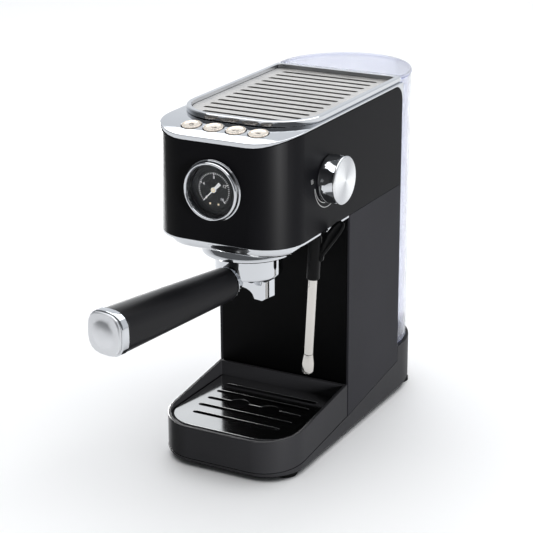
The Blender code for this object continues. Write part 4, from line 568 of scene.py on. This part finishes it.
for i, figure in enumerate(FIGURES):
    bearing = math.radians(DIAL_ZERO - DIAL_TURN * i / (len(FIGURES) - 1))
    reach = dial_radius * FIGURE_RING
    clear_choice()
    bpy.ops.object.text_add(location=(0, 0, 0))
    number = bpy.context.object
    number.data.body = figure
    number.data.size = FIGURE_SIZE
    number.data.extrude = 0.00003
    number.data.align_x = "CENTER"
    number.data.align_y = "CENTER"
    bpy.ops.object.convert(target="MESH")
    number = bpy.context.object
    number.name = f"gauge_figure_{i + 1}"
    number.matrix_world = Matrix.Translation(
        (dial_x + reach * math.cos(bearing), dial_face - PRINT_ABOVE, dial_z + reach * math.sin(bearing))
    ) @ Matrix.Rotation(math.pi / 2, 4, "X")
    bpy.ops.object.transform_apply(location=True, rotation=True, scale=True)
    put_finish(number, DIAL_WHITE_GLOW)
    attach(number, "machine")
for side in (-1, 1):
    clear_choice()
    bpy.ops.mesh.primitive_cylinder_add(
        vertices=24,
        radius=SCREW_RADIUS,
        depth=SCREW_THICKNESS,
        location=(dial_x + side * SCREW_SPREAD, dial_face - SCREW_ABOVE, dial_z - dial_radius * SCREW_RING),
        rotation=(math.pi / 2, 0, 0),
    )
    screw = bpy.context.object
    screw.name = f"gauge_dial_screw_{(side + 3) // 2}"
    bpy.ops.object.transform_apply(location=True, rotation=True, scale=True)
    soften(screw, 0.00003, 1)
    put_finish(screw, HUB_CREAM_GLOW)
    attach(screw, "machine")
needle_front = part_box("gauge_needle")[0].y
clear_choice()
bpy.ops.mesh.primitive_torus_add(
    major_radius=HUB_RING_RADIUS,
    minor_radius=HUB_RING_SECTION,
    major_segments=40,
    minor_segments=10,
    location=(dial_x, needle_front + HUB_RING_SINK, dial_z),
    rotation=(math.pi / 2, 0, 0),
)
hub_ring = bpy.context.object
hub_ring.name = "gauge_needle_hub_ring"
bpy.ops.object.transform_apply(location=True, rotation=True, scale=True)
shade(hub_ring, 60)
put_finish(hub_ring, HUB_CREAM_GLOW)
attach(hub_ring, "needle")


# ---- Steam knob ----
# A die-cast chrome barrel with scooped finger grips, capped by a turned aluminium face whose tool marks
# run in circles. It pushes onto the spindle of the steam valve behind the side wall.
finished("steam_knob", "knob", CHROME, 0.0006, 3)
finished("steam_spindle", "knob", BRUSHED, 0.0002)
TURNED_FACE = bpy.data.materials.new("turned_aluminium_face")
TURNED_FACE.use_nodes = True
face_nodes, face_links = TURNED_FACE.node_tree.nodes, TURNED_FACE.node_tree.links
face_shader = face_nodes["Principled BSDF"]
face_shader.inputs["Base Color"].default_value = (0.80, 0.81, 0.82, 1.0)
face_shader.inputs["Metallic"].default_value = 1.0
face_shader.inputs["Roughness"].default_value = 0.24
face_place = face_nodes.new("ShaderNodeTexCoord")
face_center = face_nodes.new("ShaderNodeMapping")
face_center.inputs["Location"].default_value = (0, -knob_y, -knob_z)
face_links.new(face_place.outputs["Object"], face_center.inputs["Vector"])
face_split = face_nodes.new("ShaderNodeSeparateXYZ")
face_links.new(face_center.outputs["Vector"], face_split.inputs["Vector"])
face_reach = face_nodes.new("ShaderNodeVectorMath")
face_reach.operation = "LENGTH"
face_flat = face_nodes.new("ShaderNodeCombineXYZ")
face_links.new(face_split.outputs["Y"], face_flat.inputs["Y"])
face_links.new(face_split.outputs["Z"], face_flat.inputs["Z"])
face_links.new(face_flat.outputs["Vector"], face_reach.inputs[0])
face_wave = face_nodes.new("ShaderNodeMath")
face_wave.operation = "MULTIPLY"
face_wave.inputs[1].default_value = 16000.0
face_links.new(face_reach.outputs["Value"], face_wave.inputs[0])
face_sine = face_nodes.new("ShaderNodeMath")
face_sine.operation = "SINE"
face_links.new(face_wave.outputs["Value"], face_sine.inputs[0])
face_relief = face_nodes.new("ShaderNodeBump")
face_relief.inputs["Strength"].default_value = 0.25
face_relief.inputs["Distance"].default_value = 0.00003
face_links.new(face_sine.outputs["Value"], face_relief.inputs["Height"])
face_links.new(face_relief.outputs["Normal"], face_shader.inputs["Normal"])
# Painted reflection: the colour of the face is lighter in two opposite sectors and darker in the two between
# them, the bow-tie highlight that light draws on a turned face. The circular tool marks above are relief.
face_turn = face_nodes.new("ShaderNodeMath")
face_turn.operation = "ARCTAN2"
face_links.new(face_split.outputs["Z"], face_turn.inputs[0])
face_links.new(face_split.outputs["Y"], face_turn.inputs[1])
face_sheen_turn = face_nodes.new("ShaderNodeMath")
face_sheen_turn.operation = "MULTIPLY_ADD"
face_sheen_turn.inputs[1].default_value = 2.0
face_sheen_turn.inputs[2].default_value = 0.9
face_links.new(face_turn.outputs["Value"], face_sheen_turn.inputs[0])
face_sheen_sectors = face_nodes.new("ShaderNodeMath")
face_sheen_sectors.operation = "COSINE"
face_links.new(face_sheen_turn.outputs["Value"], face_sheen_sectors.inputs[0])
face_sheen_tone = face_nodes.new("ShaderNodeValToRGB")
face_sheen_tone.color_ramp.elements[0].color = (0.52, 0.53, 0.55, 1.0)
face_sheen_tone.color_ramp.elements[1].color = (0.90, 0.91, 0.92, 1.0)
face_sheen_level = face_nodes.new("ShaderNodeMapRange")
face_sheen_level.inputs["From Min"].default_value = -1.0
face_links.new(face_sheen_sectors.outputs["Value"], face_sheen_level.inputs["Value"])
face_links.new(face_sheen_level.outputs["Result"], face_sheen_tone.inputs["Fac"])
face_links.new(face_sheen_tone.outputs["Color"], face_shader.inputs["Base Color"])
finished("steam_knob_cap", "knob", TURNED_FACE, 0.0004, 3)


# ---- Head plate and group skirt ----
# A chrome plate closes the head below and shows as a thin bright line round its foot. The dished chrome
# skirt under it hides the brewing group and is cut away on the right for the steam wand.
finished("head_plate", "machine", CHROME, 0.0003)
finished("group_skirt", "machine", CHROME, 0.0004)


# ---- Brewing group ----
# A cast brewing head hangs in the skirt's hole. The chrome collar's ramps pull the portafilter up
# against a rubber gasket, and water comes through a stainless screen.
CAST = grained("cast_aluminium", (0.46, 0.46, 0.47), 1.0, 0.5, 0.08, 500.0, 0.00006)
finished("group_head", "machine", CAST, 0.0004)
finished("group_collar", "machine", CHROME, 0.0005, 3)
finished("group_gasket", "machine", RUBBER, 0.0004)
finished("shower_screen", "machine", BRUSHED, 0.0003)


# ---- Portafilter ----
# A chrome-plated brass bowl with two ears holds a pressed stainless basket by a wire spring. A twin
# spout hangs below it, and a moulded black handle on a stud ends in a chrome ring and a satin cap.
finished("portafilter_bowl", "portafilter", CHROME, 0.0005, 3)
finished("filter_basket", "portafilter", BRUSHED, 0.0002)
finished("basket_spring", "portafilter", BRUSHED, 0.0)
finished("portafilter_spout", "portafilter", CHROME, 0.0011, 3)
HANDLE_BLACK = grained(
    "handle_satin_black", (0.002, 0.002, 0.0024), 0.0, 0.36, 0.04, 1500.0, 0.00002, shine=0.14
)
edge_lit(finished("handle_grip", "portafilter", HANDLE_BLACK, 0.0004, 2, 40))
finished("handle_ring", "portafilter", CHROME, 0.0007, 3, 40)
SATIN_CAP = grained("satin_cap", (0.72, 0.73, 0.75), 1.0, 0.44, 0.04, 1800.0, 0.000004)
finished("handle_cap", "portafilter", SATIN_CAP, 0.0, 2, 16)


# ---- Steam wand ----
# A polished stainless tube hangs from a ball in a socket and ends in a wider nozzle with one hole. A
# black moulded sleeve with a spoon-shaped lever keeps fingers off the hot steel.
POLISHED = grained(
    "polished_stainless", (0.60, 0.58, 0.55), 1.0, 0.14, 0.04, 700.0, 0.000004, (1.0, 1.0, 0.05)
)
finished("wand_socket", "machine", CAST, 0.0002)
finished("wand_ball", "wand", GAUGE_BLACK, 0.0)
finished("wand_tube", "wand", POLISHED, 0.0002)
finished("wand_nozzle", "wand", POLISHED, 0.0003)
finished("wand_grip", "wand", HANDLE_BLACK, 0.0009, 3)


# ---- Drip tray and drip plate ----
# The tray is a deep black moulding that slides off the base to the front. A polished stainless plate
# with stamped slots and two finger holes lies on a ledge inside it.
edge_lit(finished("drip_tray", "tray", MOULDED_BLACK, 0.0007, 3))
PLATE_STEEL = grained("polished_plate", (0.70, 0.70, 0.69), 1.0, 0.11, 0.03, 500.0, 0.000004, (0.1, 1.0, 1.0))
finished("drip_plate", "plate", PLATE_STEEL, 0.0003)


# ---- Water tank ----
# The tank is a clear blue-tinted moulding, open at the top under a clear lid. Light gathers in its edges
# as fine blue lines. Its outlet valve drops into a rubber seat in the base and opens when the tank is home.
def clear_plastic(name, color, alpha):
    material = grained(name, color, 0.0, 0.06, 0.02, 200.0, 0.000002, mottle=0.01)
    shader = material.node_tree.nodes["Principled BSDF"]
    shader.inputs["Transmission Weight"].default_value = 1.0
    shader.inputs["IOR"].default_value = 1.25
    shader.inputs["Alpha"].default_value = alpha
    return material


TANK_CLEAR = clear_plastic("tank_clear", (0.74, 0.76, 0.89), 0.62)
LID_CLEAR = clear_plastic("lid_clear", (0.76, 0.78, 0.88), 0.66)
finished("water_tank", "tank", TANK_CLEAR, 0.0006, 2)
finished("tank_lid", "lid", LID_CLEAR, 0.0005, 2)
EDGE_BLUE = clear_plastic("tank_edge_blue", (0.36, 0.40, 0.72), 0.75)
EDGE_RADIUS = 0.0003


def edge_beads(node, body):
    """The fine blue lines that light makes inside the sharp edges of a clear moulding."""
    beads = bpy.data.objects.new(node + "_edges", frame["nodes"][node].data.copy())
    bpy.context.scene.collection.objects.link(beads)
    take_up(beads)
    bpy.ops.object.mode_set(mode="EDIT")
    bpy.ops.mesh.select_mode(type="EDGE")
    bpy.ops.mesh.select_all(action="SELECT")
    bpy.ops.mesh.remove_doubles(threshold=0.00001)
    bpy.ops.mesh.dissolve_limited(angle_limit=math.radians(0.6))
    bpy.ops.mesh.select_all(action="DESELECT")
    bpy.ops.mesh.edges_select_sharp(sharpness=math.radians(50))
    bpy.ops.mesh.select_all(action="INVERT")
    bpy.ops.mesh.delete(type="EDGE")
    bpy.ops.mesh.select_all(action="SELECT")
    bpy.ops.mesh.delete(type="ONLY_FACE")
    bpy.ops.mesh.select_mode(type="VERT")
    bpy.ops.object.mode_set(mode="OBJECT")
    low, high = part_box(node)
    for vertex in beads.data.vertices:
        for axis in range(3):
            vertex.co[axis] = min(max(vertex.co[axis], low[axis] + EDGE_RADIUS), high[axis] - EDGE_RADIUS)
    bpy.ops.object.convert(target="CURVE")
    beads = bpy.context.object
    beads.data.bevel_depth = EDGE_RADIUS
    beads.data.bevel_resolution = 1
    beads.data.use_fill_caps = True
    bpy.ops.object.convert(target="MESH")
    beads = bpy.context.object
    beads.name = node + "_edges"
    shade(beads, 60)
    put_finish(beads, EDGE_BLUE)
    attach(beads, body)


edge_beads("water_tank", "tank")
edge_beads("tank_lid", "lid")
finished("tank_valve", "tank", INNER_BLACK, 0.0003)
finished("tank_seat", "machine", RUBBER, 0.0003)


# ---- Inside ----
# Behind the panels: a cast boiler, a vibration pump in a rubber mount, a three-way valve, the steam
# valve, the control board, and the two hoses that join them.
BOARD_GREEN = grained("circuit_board", (0.015, 0.11, 0.045), 0.0, 0.4, 0.05, 400.0, 0.00002)
HOSE_CLEAR = grained("silicone_hose", (0.62, 0.63, 0.65), 0.0, 0.35, 0.05, 300.0, 0.00001)
COIL_BLACK = grained("pump_black", (0.03, 0.03, 0.032), 0.0, 0.5, 0.06, 600.0, 0.00003)
finished("thermoblock", "machine", CAST, 0.0)
finished("pump", "machine", COIL_BLACK, 0.0004)
finished("pump_mount", "machine", RUBBER, 0.0004)
finished("solenoid_valve", "machine", COIL_BLACK, 0.001)
finished("steam_valve", "machine", BRUSHED, 0.0003)
finished("control_board", "machine", BOARD_GREEN, 0.0002)
finished("suction_hose", "machine", HOSE_CLEAR, 0.0, 2, 60)
finished("pressure_hose", "machine", HOSE_CLEAR, 0.0, 2, 60)
